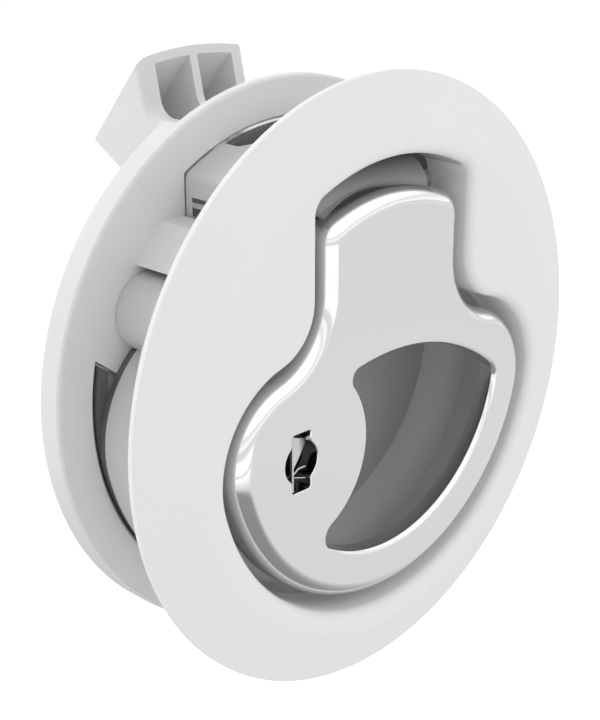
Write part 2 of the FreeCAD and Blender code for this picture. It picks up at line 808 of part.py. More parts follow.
def roof_solid(inset):
    """Everything under the ramp, whose round top edge is drawn down along the slope."""
    radius = pawl_top_r - inset
    half = pawl_half + 1
    side = math.asin(half / radius)
    section = [
        line(half, -far, -half, -far),
        line(-half, -far, -half, radius * math.cos(side)),
        arc(0, 0, radius, math.pi / 2 + side, math.pi / 2 - side),
        line(half, radius * math.cos(side), half, -far),
    ]
    face = Part.Face(Part.Wire(section))
    run = (ramp_end[0] - ramp_top[0], ramp_end[1] - ramp_top[1])
    start = math.sqrt(pawl_top_r ** 2 - pawl_half ** 2) - ramp_top[1]
    face.translate(vec(0, ramp_top[0] - roof_lead * run[0] / abs(run[1]), roof_lead - start))
    return face.extrude(vec(0, run[0] * roof_reach, run[1] * roof_reach))


def make_pawl_spring():
    length = slide_bottom + spring_depth - spring_seat
    pitch = (length - spring_wire) / spring_turns
    base = vec(0, spring_y(), spring_seat + spring_wire / 2)
    return helix(spring_r, spring_wire, pitch, spring_turns, base, vec(0, 0, 1))


def make_spring_guide():
    pin = Part.makeCylinder(guide_r, guide_length, vec(0, spring_y(), spring_seat), vec(0, 0, 1))
    top = edges_where(pin, lambda edge: edge.BoundBox.ZMin > spring_seat + guide_length - 1e-3)
    return pin.makeChamfer(guide_r * 0.4, top)


parts = {
    "housing": make_housing(),
    "mounting_ring": make_ring(),
    "ring_screws": Part.Compound([make_ring_screw(-boss_x), make_ring_screw(boss_x)]),
    "rear_housing": make_case(),
    "rear_cover": make_cover(),
    "cover_screws": Part.Compound([make_cover_screw(side * x, z) for x, z in post_places for side in (-1, 1)]),
    "hinge_pin": make_hinge_pin(),
    "return_spring": make_return_spring(),
    "handle": make_handle(),
    "lock_barrel": make_barrel(),
    "barrel_clip": make_clip(),
    "dust_shutter": make_shutter(),
    "lock_plug": make_plug(),
    "lock_cam": make_cam(),
    "cam_screw": make_cam_screw(),
    "pawl": make_slide_and_pawl(),
    "pawl_spring": make_pawl_spring(),
    "spring_guide": make_spring_guide(),
}
for index, (start, end) in enumerate(wafer_spans()):
    parts["lock_wafer_%d" % (index + 1)] = make_wafer(start, end)

os.makedirs("parts", exist_ok=True)
for name, shape in parts.items():
    shape.exportStep(os.path.join("parts", name + ".step"))
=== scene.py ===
import json
import math

import bmesh
import bpy
from mathutils import Matrix, Vector
from mathutils.geometry import delaunay_2d_cdt


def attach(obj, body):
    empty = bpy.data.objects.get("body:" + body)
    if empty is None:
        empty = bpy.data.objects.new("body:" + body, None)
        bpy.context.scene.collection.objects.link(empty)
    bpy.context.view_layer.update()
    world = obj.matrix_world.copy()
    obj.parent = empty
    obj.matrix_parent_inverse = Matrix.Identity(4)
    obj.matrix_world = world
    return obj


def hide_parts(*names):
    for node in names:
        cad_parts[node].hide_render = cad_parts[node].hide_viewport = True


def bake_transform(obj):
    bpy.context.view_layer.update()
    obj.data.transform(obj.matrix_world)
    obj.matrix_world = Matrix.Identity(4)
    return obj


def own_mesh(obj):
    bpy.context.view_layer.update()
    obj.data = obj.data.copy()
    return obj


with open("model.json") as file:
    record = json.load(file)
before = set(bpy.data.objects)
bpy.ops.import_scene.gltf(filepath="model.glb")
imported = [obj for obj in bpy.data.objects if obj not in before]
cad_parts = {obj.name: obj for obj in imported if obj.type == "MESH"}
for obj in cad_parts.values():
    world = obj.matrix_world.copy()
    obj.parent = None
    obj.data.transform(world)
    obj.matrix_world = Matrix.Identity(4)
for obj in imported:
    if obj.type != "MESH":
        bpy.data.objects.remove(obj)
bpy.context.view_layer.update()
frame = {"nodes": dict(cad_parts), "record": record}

bl_info = {
    "name": "Push-to-close latch",
    "version": (1, 0, 0),
    "blender": (4, 5, 0),
    "location": "3D View > Sidebar > Latch",
    "description": "Dresses a round flush push-to-close latch with its finishes",
    "category": "Object",
}

MM = 0.001


# Sizes and colours
def size_property(name, text, default, **limits):
    """A length of the part, in millimetres."""
    return bpy.props.FloatProperty(name=name, description=text + ", in mm", default=default, **limits)


def colour_property(name, text, default):
    return bpy.props.FloatVectorProperty(name=name, description=text, subtype="COLOR", size=3, default=default)


class LatchSizes(bpy.types.PropertyGroup):
    """Sizes of the moulding and the pull, in millimetres."""
    bezel_radius: size_property("Bezel radius", "Outside radius of the bezel", 31.0, min=20.0)
    bezel_rim: size_property("Bezel rim", "Thickness of the bezel at its rim", 0.6)
    bezel_height: size_property("Bezel height", "Height of the bezel's flat above the panel", 3.2)
    bezel_flat: size_property("Bezel flat radius", "Radius where the flat meets the cone", 25.2)
    recess_radius: size_property("Recess radius", "Radius of the finger recess", 22.9)
    neck_half: size_property("Neck half width", "Half the width of the recess's neck", 10.9)
    neck_top: size_property("Neck top radius", "Radius of the neck's top arc", 23.4)
    neck_corner: size_property("Neck corner radius", "Radius of the neck's upper corners", 1.8)
    shoulder: size_property("Shoulder radius", "Radius of the soft shoulders", 5.9)
    pull_gap: size_property("Pull gap", "Gap between the pull and the recess wall", 1.45)
    pull_top: size_property("Pull top radius", "Radius of the pull's top arc", 20.3)
    pull_corner: size_property("Pull corner radius", "Radius of the pull's upper corners", 2.7)
    pull_round: size_property("Pull edge radius", "Rounding of the pull's front edge", 1.8)


class LatchColours(bpy.types.PropertyGroup):
    """Colours of the finishes."""
    white: colour_property("White moulding", "Colour of the bezel's face", (0.84, 0.84, 0.835))
    pale: colour_property("Pale moulding", "Colour of the ring and pawl", (0.60, 0.60, 0.60))
    dark: colour_property("Dark moulding", "Colour of the case and cover", (0.16, 0.158, 0.158))
    chrome: colour_property("Chrome", "Colour of the plated pull", (0.66, 0.66, 0.65))


# Node materials
def add_node(tree, kind, values=(), **settings):
    node = tree.nodes.new(kind)
    for key, value in settings.items():
        setattr(node, key, value)
    for key, value in dict(values).items():
        node.inputs[key].default_value = value
    return node


def join(tree, *links):
    """Links given as (node, its output, node, its input)."""
    for source, leave, target, enter in links:
        tree.links.new(source.outputs[leave], target.inputs[enter])


def add_noise(tree, place, scale, detail, **more):
    """Noise over the coordinates that a node gives."""
    noise = add_node(tree, "ShaderNodeTexNoise", {"Scale": scale, "Detail": detail, **more})
    join(tree, (place, "Vector", noise, "Vector"))
    return noise


MILLIMETRES = (1000.0, 1000.0, 1000.0)


def new_finish(name, colour, colour_scale, amount, rough_scale, low, high):
    """A material whose colour and roughness vary a little; returns it, its tree, shader and coordinates."""
    material = bpy.data.materials.new(name)
    material.use_nodes = True
    tree = material.node_tree
    tree.nodes.clear()
    output = add_node(tree, "ShaderNodeOutputMaterial")
    shader = add_node(tree, "ShaderNodeBsdfPrincipled")
    own = add_node(tree, "ShaderNodeTexCoord")
    place = add_node(tree, "ShaderNodeMapping", {"Scale": MILLIMETRES})
    tone = add_noise(tree, place, colour_scale, 3.0)
    ramp = add_node(tree, "ShaderNodeValToRGB")
    for mark, factor in zip(ramp.color_ramp.elements, (1 - amount, 1 + amount)):
        mark.color = (*(min(1.0, channel * factor) for channel in colour), 1)
    wear = add_noise(tree, place, rough_scale, 4.0)
    spread = add_node(tree, "ShaderNodeMapRange", {"To Min": low, "To Max": high})
    join(tree, (shader, "BSDF", output, "Surface"), (own, "Object", place, "Vector"), (tone, "Fac", ramp, "Fac"),
         (ramp, "Color", shader, "Base Color"), (wear, "Fac", spread, "Value"),
         (spread, "Result", shader, "Roughness"))
    return material, tree, shader, place


def bump_from(tree, shader, source, leave, distance, strength):
    bump = add_node(tree, "ShaderNodeBump", {"Strength": strength, "Distance": distance})
    join(tree, (source, leave, bump, "Height"), (bump, "Normal", shader, "Normal"))


PLASTIC_GLOSS = 0.4


def leather_plastic(name, colour):
    """White plastic moulded with a fine leather grain, its hollows darkened with painted shade."""
    material, tree, shader, place = new_finish(name, colour, 0.4, 0.02, 1.5, 0.42, 0.55)
    shader.inputs["Specular IOR Level"].default_value = PLASTIC_GLOSS
    grain = add_noise(tree, place, 1.7, 5.0, Roughness=0.62, Distortion=1.2)
    wrinkle = add_node(tree, "ShaderNodeMapRange", {"From Min": 0.40, "From Max": 0.56},
                       interpolation_type="SMOOTHSTEP")
    # Painted shade: the grain's hollows get a darker colour, down to 0.72 of the white.
    shade = add_node(tree, "ShaderNodeMapRange", {"To Min": 0.72, "To Max": 1.0})
    grain_painted_shade = add_node(tree, "ShaderNodeVectorMath", operation="SCALE")
    tree.links.new(shader.inputs["Base Color"].links[0].from_socket, grain_painted_shade.inputs[0])
    join(tree, (grain, "Fac", wrinkle, "Value"), (wrinkle, "Result", shade, "Value"),
         (shade, "Result", grain_painted_shade, "Scale"), (grain_painted_shade, "Vector", shader, "Base Color"))
    bump_from(tree, shader, wrinkle, "Result", 0.00008, 0.9)
    return material


def satin_plastic(name, colour, roughness, grain):
    """Plain moulded plastic with a slight orange-peel surface."""
    material, tree, shader, place = new_finish(name, colour, 0.25, 0.03, 2.0, roughness - 0.05, roughness + 0.05)
    shader.inputs["Specular IOR Level"].default_value = PLASTIC_GLOSS
    bump_from(tree, shader, add_noise(tree, place, grain, 3.0), "Fac", 0.00001, 0.5)
    return material


def plated_metal(name, colour, roughness, waviness):
    """Plated metal: a clean mirror with a very slight casting wave under it."""
    material, tree, shader, place = new_finish(name, colour, 0.2, 0.01, 0.6, roughness * 0.8, roughness * 1.2)
    shader.inputs["Metallic"].default_value = 1.0
    bump_from(tree, shader, add_noise(tree, place, 0.12, 1.0), "Fac", waviness, 0.3)
    return material


def turned_metal(name, colour, roughness):
    """Plain machined or drawn metal with fine marks."""
    material, tree, shader, place = new_finish(name, colour, 0.8, 0.06, 8.0, roughness - 0.07, roughness + 0.07)
    shader.inputs["Metallic"].default_value = 1.0
    bump_from(tree, shader, add_noise(tree, place, 14.0, 2.0), "Fac", 0.000004, 0.5)
    return material


def finish_for(slot):
    """The material of a slot or of a face group, made once."""
    found = bpy.data.materials.get(slot)
    if found:
        return found
    colours = bpy.context.scene.latch_colours
    plans = {
        "white_plastic": (leather_plastic, colours.white),
        # Smooth white: the smoothness is real; its colour, darker than the white moulding, is painted shade.
        "smooth_white_painted_shade": (satin_plastic, (0.56, 0.56, 0.56), 0.45, 3.0),
        "light_plastic": (satin_plastic, colours.pale, 0.45, 3.0),
        # A lighter copy of the dark moulding for the hinge guard: painted light, as the guard lies in shade.
        "guard_grey_painted_light": (satin_plastic, (0.34, 0.337, 0.332), 0.5, 4.0),
        # Lighter copies of the dark moulding: painted light for the finger cup, its wall lighter than its floor as if
        # lit from above.
        "cup_floor_painted_light": (satin_plastic, (0.40, 0.397, 0.392), 0.5, 4.0),
        "cup_wall_painted_light": (satin_plastic, (0.56, 0.557, 0.55), 0.5, 4.0),
        "dark_plastic": (satin_plastic, colours.dark, 0.5, 4.0),
        "chrome": (plated_metal, colours.chrome, 0.07, 0.00002),
        "shutter_steel": (plated_metal, (0.85, 0.85, 0.84), 0.25, 0.00001),
        # Near black: the plug is dark, and painted darker still as painted shade for its hollow keyway.
        "lock_black": (satin_plastic, (0.012, 0.012, 0.013), 0.45, 5.0),
        "spring_steel": (turned_metal, (0.42, 0.42, 0.43), 0.32),
        "zinc_steel": (turned_metal, (0.58, 0.59, 0.60), 0.3),
    }
    make, *values = plans[slot]
    return make(slot, *values)


# Outlines
class Outline:
    """A closed outline of arcs and straights in the XZ plane, in mm, drawn anticlockwise."""

    def __init__(self):
        self.runs = []

    def arc(self, x, z, radius, start, end):
        self.runs.append(("arc", x, z, radius, start, end))

    def line(self, x0, z0, x1, z1):
        self.runs.append(("line", x0, z0, x1, z1))

    def length(self, run):
        if run[0] == "arc":
            return run[3] * abs(run[5] - run[4])
        return math.hypot(run[3] - run[1], run[4] - run[2])

    def samples(self, spacing, least=6):
        """Points (x, z, normal x, normal z); each arc has at least a few."""
        points = []
        for run in self.runs:
            count = max(2, math.ceil(self.length(run) / spacing))
            if run[0] == "arc":
                count = max(least, count)
            for index in range(count):
                part = (index + 0.5) / count
                points.append(self.point(run, part))
        return points

    def point(self, run, part):
        if run[0] == "arc":
            x, z, radius, start, end = run[1:]
            angle = start + (end - start) * part
            side = 1.0 if end > start else -1.0
            return (x + radius * math.cos(angle), z + radius * math.sin(angle),
                    side * math.cos(angle), side * math.sin(angle))
        x0, z0, x1, z1 = run[1:]
        size = self.length(run)
        return (x0 + (x1 - x0) * part, z0 + (z1 - z0) * part, (z1 - z0) / size, -(x1 - x0) / size)


SHOULDER_HEIGHT = 12.0
SHOULDER_SWEEP = math.radians(75.0)


def keyhole_outline(circle, half, top, shoulder, corner):
    """A circle whose neck rises to a top arc between two soft shoulders."""
    sweep = SHOULDER_SWEEP
    turn = half + shoulder
    end_x = turn - shoulder * math.cos(sweep)
    end_z = SHOULDER_HEIGHT - shoulder * math.sin(sweep)
    inward = -(end_x * math.cos(sweep) + end_z * math.sin(sweep))
    bulge = (circle ** 2 - end_x ** 2 - end_z ** 2) / (2 * (circle + inward))
    bulge_x = end_x - bulge * math.cos(sweep)
    bulge_z = end_z - bulge * math.sin(sweep)
    low = math.atan2(bulge_z, bulge_x)
    corner_x = half - corner
    corner_z = math.sqrt((top - corner) ** 2 - corner_x ** 2)
    high = math.atan2(corner_z, corner_x)
    drawn = Outline()
    drawn.arc(0, 0, circle, -math.pi - low, low)
    drawn.arc(bulge_x, bulge_z, bulge, low, sweep)
    drawn.arc(turn, SHOULDER_HEIGHT, shoulder, math.pi + sweep, math.pi)
    drawn.line(half, SHOULDER_HEIGHT, half, corner_z)
    drawn.arc(corner_x, corner_z, corner, 0, high)
    drawn.arc(0, 0, top, high, math.pi - high)
    drawn.arc(-corner_x, corner_z, corner, math.pi - high, math.pi)
    drawn.line(-half, corner_z, -half, SHOULDER_HEIGHT)
    drawn.arc(-turn, SHOULDER_HEIGHT, shoulder, 0, -sweep)
    drawn.arc(-bulge_x, bulge_z, bulge, math.pi - sweep, math.pi - low)
    return drawn


RECESS_SPACING = 0.45
RECESS_LEAST = 10


def recess_samples(sizes):
    """Points round the finger recess."""
    return keyhole_outline(sizes.recess_radius, sizes.neck_half, sizes.neck_top, sizes.shoulder,
                           sizes.neck_corner).samples(RECESS_SPACING, RECESS_LEAST)


def circles_meet(first, first_r, second, second_r, pick):
    """The crossing of two circles that pick prefers."""
    gap = second - first
    distance = gap.length
    along = (distance ** 2 + first_r ** 2 - second_r ** 2) / (2 * distance)
    across = math.sqrt(first_r ** 2 - along ** 2)
    middle = first + gap * (along / distance)
    side = Vector((-gap.y, gap.x)) * (across / distance)
    return max((middle + side, middle - side), key=pick)


def angle_of(point, centre):
    return math.atan2(point.y - centre.y, point.x - centre.x)


OPENING_RADIUS = 16.35
OPENING_TOP_RADIUS = 25.0
OPENING_TOP_HEIGHT = 4.2
OPENING_LOCK_RADIUS = 9.35
OPENING_CORNER = 2.3
OPENING_TIP = 1.3
OPENING_CUSP = 0.9
LOCK = Vector((-13.1, -3.3))


def opening_outline():
    """The finger opening: outer arc, flatter top arc and an arc round the lock."""
    middle = Vector((0.0, 0.0))
    above = Vector((0.0, OPENING_TOP_HEIGHT - OPENING_TOP_RADIUS))
    corner = circles_meet(middle, OPENING_RADIUS - OPENING_CORNER, above, OPENING_TOP_RADIUS - OPENING_CORNER,
                          lambda point: point.x)
    tip = circles_meet(middle, OPENING_RADIUS - OPENING_TIP, LOCK, OPENING_LOCK_RADIUS + OPENING_TIP,
                       lambda point: -point.y)
    cusp = circles_meet(above, OPENING_TOP_RADIUS - OPENING_CUSP, LOCK, OPENING_LOCK_RADIUS + OPENING_CUSP,
                        lambda point: point.y)
    drawn = Outline()
    drawn.arc(LOCK.x, LOCK.y, OPENING_LOCK_RADIUS, angle_of(cusp, LOCK), angle_of(tip, LOCK))
    turn = angle_of(LOCK, tip)
    drawn.arc(tip.x, tip.y, OPENING_TIP, turn, angle_of(tip, middle) + (2 * math.pi if turn > 0 else 0))
    drawn.arc(0, 0, OPENING_RADIUS, angle_of(tip, middle), angle_of(corner, middle))
    drawn.arc(corner.x, corner.y, OPENING_CORNER, angle_of(corner, middle), angle_of(corner, above))
    drawn.arc(above.x, above.y, OPENING_TOP_RADIUS, angle_of(corner, above), angle_of(cusp, above))
    drawn.arc(cusp.x, cusp.y, OPENING_CUSP, angle_of(cusp, above), angle_of(LOCK, cusp) + 2 * math.pi)
    return drawn


KEY_CIRCLE = 2.13
KEY_SLOT_HALF = 1.2
KEY_SLOT_REACH = 2.95


def key_outline():
    """The key opening: a circle crossed by an upright slot."""
    cut = math.acos(KEY_SLOT_HALF / KEY_CIRCLE)
    rise = KEY_CIRCLE * math.sin(cut)
    drawn = Outline()
    right = LOCK.x + KEY_SLOT_HALF
    left = LOCK.x - KEY_SLOT_HALF
    top = LOCK.y + KEY_SLOT_REACH
    bottom = LOCK.y - KEY_SLOT_REACH
    drawn.arc(LOCK.x, LOCK.y, KEY_CIRCLE, -cut, cut)
    drawn.line(right, LOCK.y + rise, right, top)
    drawn.line(right, top, left, top)
    drawn.line(left, top, left, LOCK.y + rise)
    drawn.arc(LOCK.x, LOCK.y, KEY_CIRCLE, math.pi - cut, math.pi + cut)
    drawn.line(left, LOCK.y - rise, left, bottom)
    drawn.line(left, bottom, right, bottom)
    drawn.line(right, bottom, right, LOCK.y - rise)
    return drawn


# Mesh helpers
def loop_points(samples, offset, y):
    return [Vector(((x + nx * offset) * MM, y * MM, (z + nz * offset) * MM)) for x, z, nx, nz in samples]


def circle_points(samples, radius, y):
    """A circle whose points stand at the same bearings as the samples."""
    sized = [(x, z, math.hypot(x, z)) for x, z, _, _ in samples]
    return [Vector((x / size * radius * MM, y * MM, z / size * radius * MM)) for x, z, size in sized]


def clipped_points(samples, offset, radius, y):
    """An offset loop held inside a circle."""
    points = []
    for point in loop_points(samples, offset, y):
        size = math.hypot(point.x, point.z) / MM
        shrink = min(1.0, radius / size)
        points.append(Vector((point.x * shrink, point.y, point.z * shrink)))
    return points


def add_loop(mesh, points):
    return [mesh.verts.new(point) for point in points]


def bridge(mesh, first, second):
    """Quads between two closed loops of the same count."""
    count = len(first)
    for index in range(count):
        after = (index + 1) % count
        mesh.faces.new((first[index], first[after], second[after], second[index]))


def skin(mesh, loops, closed=False, capped=False):
    """Quads along a row of loops, closed on itself or with a face at each end where asked."""
    for first, second in zip(loops, loops[1:]):
        bridge(mesh, first, second)
    if closed:
        bridge(mesh, loops[-1], loops[0])
    if capped:
        mesh.faces.new(loops[0])
        mesh.faces.new(loops[-1])


def quarter_turn(steps):
    """(1 - sine, 1 - cosine) at even steps of a quarter turn."""
    for step in range(steps + 1):
        angle = math.pi / 2 * step / steps
        yield 1 - math.sin(angle), 1 - math.cos(angle)


def fill_between(mesh, loops):
    """Flat triangles inside the first loop and outside the others, all in one plane of constant y."""
    flat = []
    rings = []
    owners = []
    for loop in loops:
        rings.append(list(range(len(flat), len(flat) + len(loop))))
        flat.extend(Vector((vertex.co.x, vertex.co.z)) for vertex in loop)
        owners.extend(loop)
    edges = []
    for ring in rings:
        edges.extend((ring[index], ring[(index + 1) % len(ring)]) for index in range(len(ring)))
    found = delaunay_2d_cdt(flat, edges, [], 0, 1e-9)
    points, faces, origins = found[0], found[2], found[3]
    shapes = [[flat[index] for index in ring] for ring in rings]
    for face in faces:
        middle = sum((points[index] for index in face), Vector((0.0, 0.0))) / len(face)
        if not inside(middle, shapes[0]) or any(inside(middle, shape) for shape in shapes[1:]):
            continue
        corners = [owners[origins[index][0]] for index in face]
        mesh.faces.new(corners)


def inside(point, shape):
    """True if the point lies within the closed polygon."""
    result = False
    before = shape[-1]
    for here in shape:
        if (here.y > point.y) != (before.y > point.y):
            cross = (before.x - here.x) * (point.y - here.y) / (before.y - here.y) + here.x
            if point.x < cross:
                result = not result
        before = here
    return result


def disc(radius, x, z, y, count):
    """A circle of points about a line along Y."""
    points = []
    for index in range(count):
        angle = 2 * math.pi * index / count
        points.append(Vector(((x + radius * math.cos(angle)) * MM, y * MM, (z + radius * math.sin(angle)) * MM)))
    return points


def lathe(mesh, profile, x=0.0, z=0.0, count=72, tube=False):
    """A turned solid about a line along Y, from (radius, y) pairs; a tube's profile closes on itself."""
    loops = [add_loop(mesh, disc(radius, x, z, y, count)) for radius, y in profile]
    skin(mesh, loops, closed=tube, capped=not tube)


def cross_rod(mesh, radius, x0, x1, y, z, count=64):
    """A round rod along X."""
    turns = [2 * math.pi * index / count for index in range(count)]
    loops = [add_loop(mesh, [Vector((x, y + radius * math.cos(angle), z + radius * math.sin(angle))) * MM
                             for angle in turns]) for x in (x0, x1)]
    skin(mesh, loops, capped=True)


def side_prism(mesh, corners, x0, x1):
    """A prism along X over (y, z) corners."""
    loops = [add_loop(mesh, [Vector((x, y, z)) * MM for y, z in corners]) for x in (x0, x1)]
    skin(mesh, loops, capped=True)


def box(mesh, x0, x1, y0, y1, z0, z1):
    side_prism(mesh, [(y0, z0), (y1, z0), (y1, z1), (y0, z1)], x0, x1)


def outline_prism(mesh, samples, offset, y0, y1):
    """A prism along Y over an offset outline."""
    loops = [add_loop(mesh, loop_points(samples, offset, y)) for y in (y0, y1)]
    skin(mesh, loops, capped=True)


def drawn(draw, *values, **settings):
    """A new bmesh with one thing drawn in it."""
    mesh = bmesh.new()
    draw(mesh, *values, **settings)
    return mesh


def scratch_object(mesh):
    """A bmesh as a linked object that is thrown away later."""
    bmesh.ops.recalc_face_normals(mesh, faces=mesh.faces)
    data = bpy.data.meshes.new("scratch")
    mesh.to_mesh(data)
    mesh.free()
    made = bpy.data.objects.new("scratch", data)
    bpy.context.scene.collection.objects.link(made)
    return made


def evaluated_mesh(made):
    """The object's mesh after its modifiers."""
    bpy.context.view_layer.update()
    found = made.evaluated_get(bpy.context.evaluated_depsgraph_get())
    return bpy.data.meshes.new_from_object(found)


def combine(base, steps):
    """The base after each (operation, bmesh) step, as a new bmesh."""
    target = scratch_object(base)
    tools = []
    for operation, tool in steps:
        tools.append(scratch_object(tool))
        step = target.modifiers.new("carve", "BOOLEAN")
        step.operation = operation
        step.solver = "EXACT"
        step.object = tools[-1]
    data = evaluated_mesh(target)
    result = bmesh.new()
    result.from_mesh(data)
    bpy.data.meshes.remove(data)
    for old in [target] + tools:
        mesh = old.data
        bpy.data.objects.remove(old)
        bpy.data.meshes.remove(mesh)
    return result


SMOOTH_LIMIT = math.radians(32.0)


def finish_mesh(mesh, name, slot, smooth=SMOOTH_LIMIT):
    """A shaded object from a bmesh, with outward faces and its finish."""
    bmesh.ops.remove_doubles(mesh, verts=mesh.verts, dist=1e-7)
    bmesh.ops.recalc_face_normals(mesh, faces=mesh.faces)
    for face in mesh.faces:
        face.smooth = True
    for edge in mesh.edges:
        edge.smooth = edge.calc_face_angle(0.0) < smooth
    data = bpy.data.meshes.new(name)
    mesh.to_mesh(data)
    mesh.free()
    made = bpy.data.objects.new(name, data)
    bpy.context.scene.collection.objects.link(made)
    made.data.materials.append(finish_for(slot))
    weigh(made)
    return made


def weigh(made):
    """Normals follow the large faces, so flats stay flat beside their rounded edges."""
    even = made.modifiers.new("even normals", "WEIGHTED_NORMAL")
    even.keep_sharp = True
    even.weight = 80


def settle(made, body, slot, *nodes):
    """Rides the piece on its body and hides the nodes it stands for; the slot it is given is not used."""
    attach(made, body)
    if nodes:
        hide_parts(*nodes)
    return made


def copy_of_node(node, name, slot, smooth=SMOOTH_LIMIT, soften=0.0, steps=()):
    """A merged and softly shaded copy of a CAD node, after some carving."""
    mesh = bmesh.new()
    mesh.from_mesh(frame["nodes"][node].data)
    bmesh.ops.remove_doubles(mesh, verts=mesh.verts, dist=2e-6)
    bmesh.ops.dissolve_limit(mesh, angle_limit=math.radians(0.5), verts=mesh.verts, edges=mesh.edges)
    if steps:
        mesh = combine(mesh, steps)
    made = finish_mesh(mesh, name, slot, smooth)
    if soften:
        edge = made.modifiers.new("soft edges", "BEVEL")
        edge.width = soften * MM
        edge.segments = 2
        edge.limit_method = "ANGLE"
        edge.angle_limit = math.radians(50)
        edge.harden_normals = True
        made.modifiers.move(len(made.modifiers) - 1, 0)
    return made


# Pieces
class BezelOperator(bpy.types.Operator):
    """Makes the white moulding: bezel, recess wall, skirt and screw bosses"""
    bl_idname = "latch.bezel"
    bl_label = "Bezel and skirt"

    def execute(self, context):
        sizes = context.scene.latch_sizes
        samples = recess_samples(sizes)
        lip = 1.1
        skirt = 2.2
        skirt_radius = 25.1
        skirt_end = 11.4
        mesh = bmesh.new()
        loops = [add_loop(mesh, loop_points(samples, 0, skirt_end))]
        front = -sizes.bezel_height
        steps = 8
        for fall, rise in quarter_turn(steps):
            loops.append(add_loop(mesh, loop_points(samples, lip * rise, front + lip * fall)))
        crest = 2.5
        tilt = math.atan2(sizes.bezel_height - sizes.bezel_rim, sizes.bezel_radius - sizes.bezel_flat)
        reach = crest * math.tan(tilt / 2)
        for step in range(steps + 1):
            angle = tilt * step / steps
            radius = sizes.bezel_flat - reach + crest * math.sin(angle)
            y = front + crest * (1 - math.cos(angle))
            loops.append(add_loop(mesh, circle_points(samples, radius, y)))
        rounding = 0.2
        turn = math.pi / 2 - tilt
        near = rounding * math.tan(turn / 2)
        for step in range(5):
            angle = tilt + turn * step / 4
            radius = sizes.bezel_radius - rounding + rounding * math.sin(angle)
            y = -sizes.bezel_rim + near - rounding * math.cos(angle)
            loops.append(add_loop(mesh, circle_points(samples, radius, y)))
        loops.append(add_loop(mesh, circle_points(samples, sizes.bezel_radius, 0)))
        loops.append(add_loop(mesh, clipped_points(samples, skirt, skirt_radius, 0)))
        loops.append(add_loop(mesh, clipped_points(samples, skirt, skirt_radius, skirt_end)))
        skin(mesh, loops, closed=True)
        mesh = combine(mesh, self.steps(samples))
        made = finish_mesh(mesh, "bezel", "white_plastic")
        made.data.materials.append(finish_for("smooth_white_painted_shade"))
        # Painted shade: the skirt and everything deeper than 2.8 mm get the darker smooth copy of the white moulding,
        # for the shade behind the bezel and under the pull.
        skirt_start = 0.01
        skirt_inside = 23.3
        deep = 2.8
        for face in made.data.polygons:
            place = face.center / MM
            if (place.y > skirt_start and math.hypot(place.x, place.z) > skirt_inside) or place.y > deep:
                face.material_index = 1
        settle(made, "frame", "white_plastic", "housing")
        return {"FINISHED"}

    def steps(self, samples):
        """The screw bosses, the sloping dip, the nest for the dark case and the holes."""
        boss = 3.9
        boss_end = 12.35
        nest = 1.1
        nest_start = 2.75
        dip_wall = 0.8
        overlap = 0.3
        core = 1.2
        core_start = 3.35
        pin_hole = 1.1
        pin_near = 9.9
        pin_far = 12.5
        past = boss_end + 2
        steps = []
        for side in (-1, 1):
            x = side * BOSS_PLACE.x
            rod = drawn(lathe, [(boss, -overlap), (boss, boss_end - 0.15), (boss - 0.15, boss_end)], x, BOSS_PLACE.y)
            steps.append(("UNION", combine(rod, [("DIFFERENCE", drawn(outline_prism, samples, overlap, -1, past))])))
        block = keyhole_outline(25.1, 13.1, 25.1, 3.7, 1.0).samples(RECESS_SPACING, RECESS_LEAST)
        neck = drawn(outline_prism, block, 0, -overlap, 12.25)
        steps.append(("UNION", combine(neck, [("INTERSECT", drawn(box, -14, 14, -1, past, 12.4, 40)),
                                              ("DIFFERENCE", drawn(outline_prism, samples, overlap, -1, past))])))
        steps.append(("DIFFERENCE", drawn(dip_prism, 0.0)))
        steps.append(("DIFFERENCE", combine(drawn(outline_prism, samples, nest, nest_start, past),
                                            [("DIFFERENCE", drawn(dip_prism, dip_wall))])))
        for side in (-1, 1):
            hole = drawn(lathe, [(core, core_start), (core, past)], side * BOSS_PLACE.x, BOSS_PLACE.y, 32)
            steps.append(("DIFFERENCE", hole))
            ends = sorted((side * pin_near, side * pin_far))
            steps.append(("DIFFERENCE", drawn(cross_rod, pin_hole, *ends, PIVOT.x, PIVOT.y, 32)))
        return steps


BOSS_PLACE = Vector((18.2, 9.3))
PIVOT = Vector((3.2, 18.6))


def dip_prism(mesh, drop):
    """Everything above the sloping dip in the skirt's top, lowered by drop."""
    half = 8.3
    start = 5.0
    fall = 1.8
    high = 25.1 - drop
    run = 6.4
    side_prism(mesh, [(start - run / 4, high + fall / 4), (start + 2 * run, high - 2 * fall),
                      (start + 2 * run, 40.0), (start - run / 4, 40.0)], -half, half)


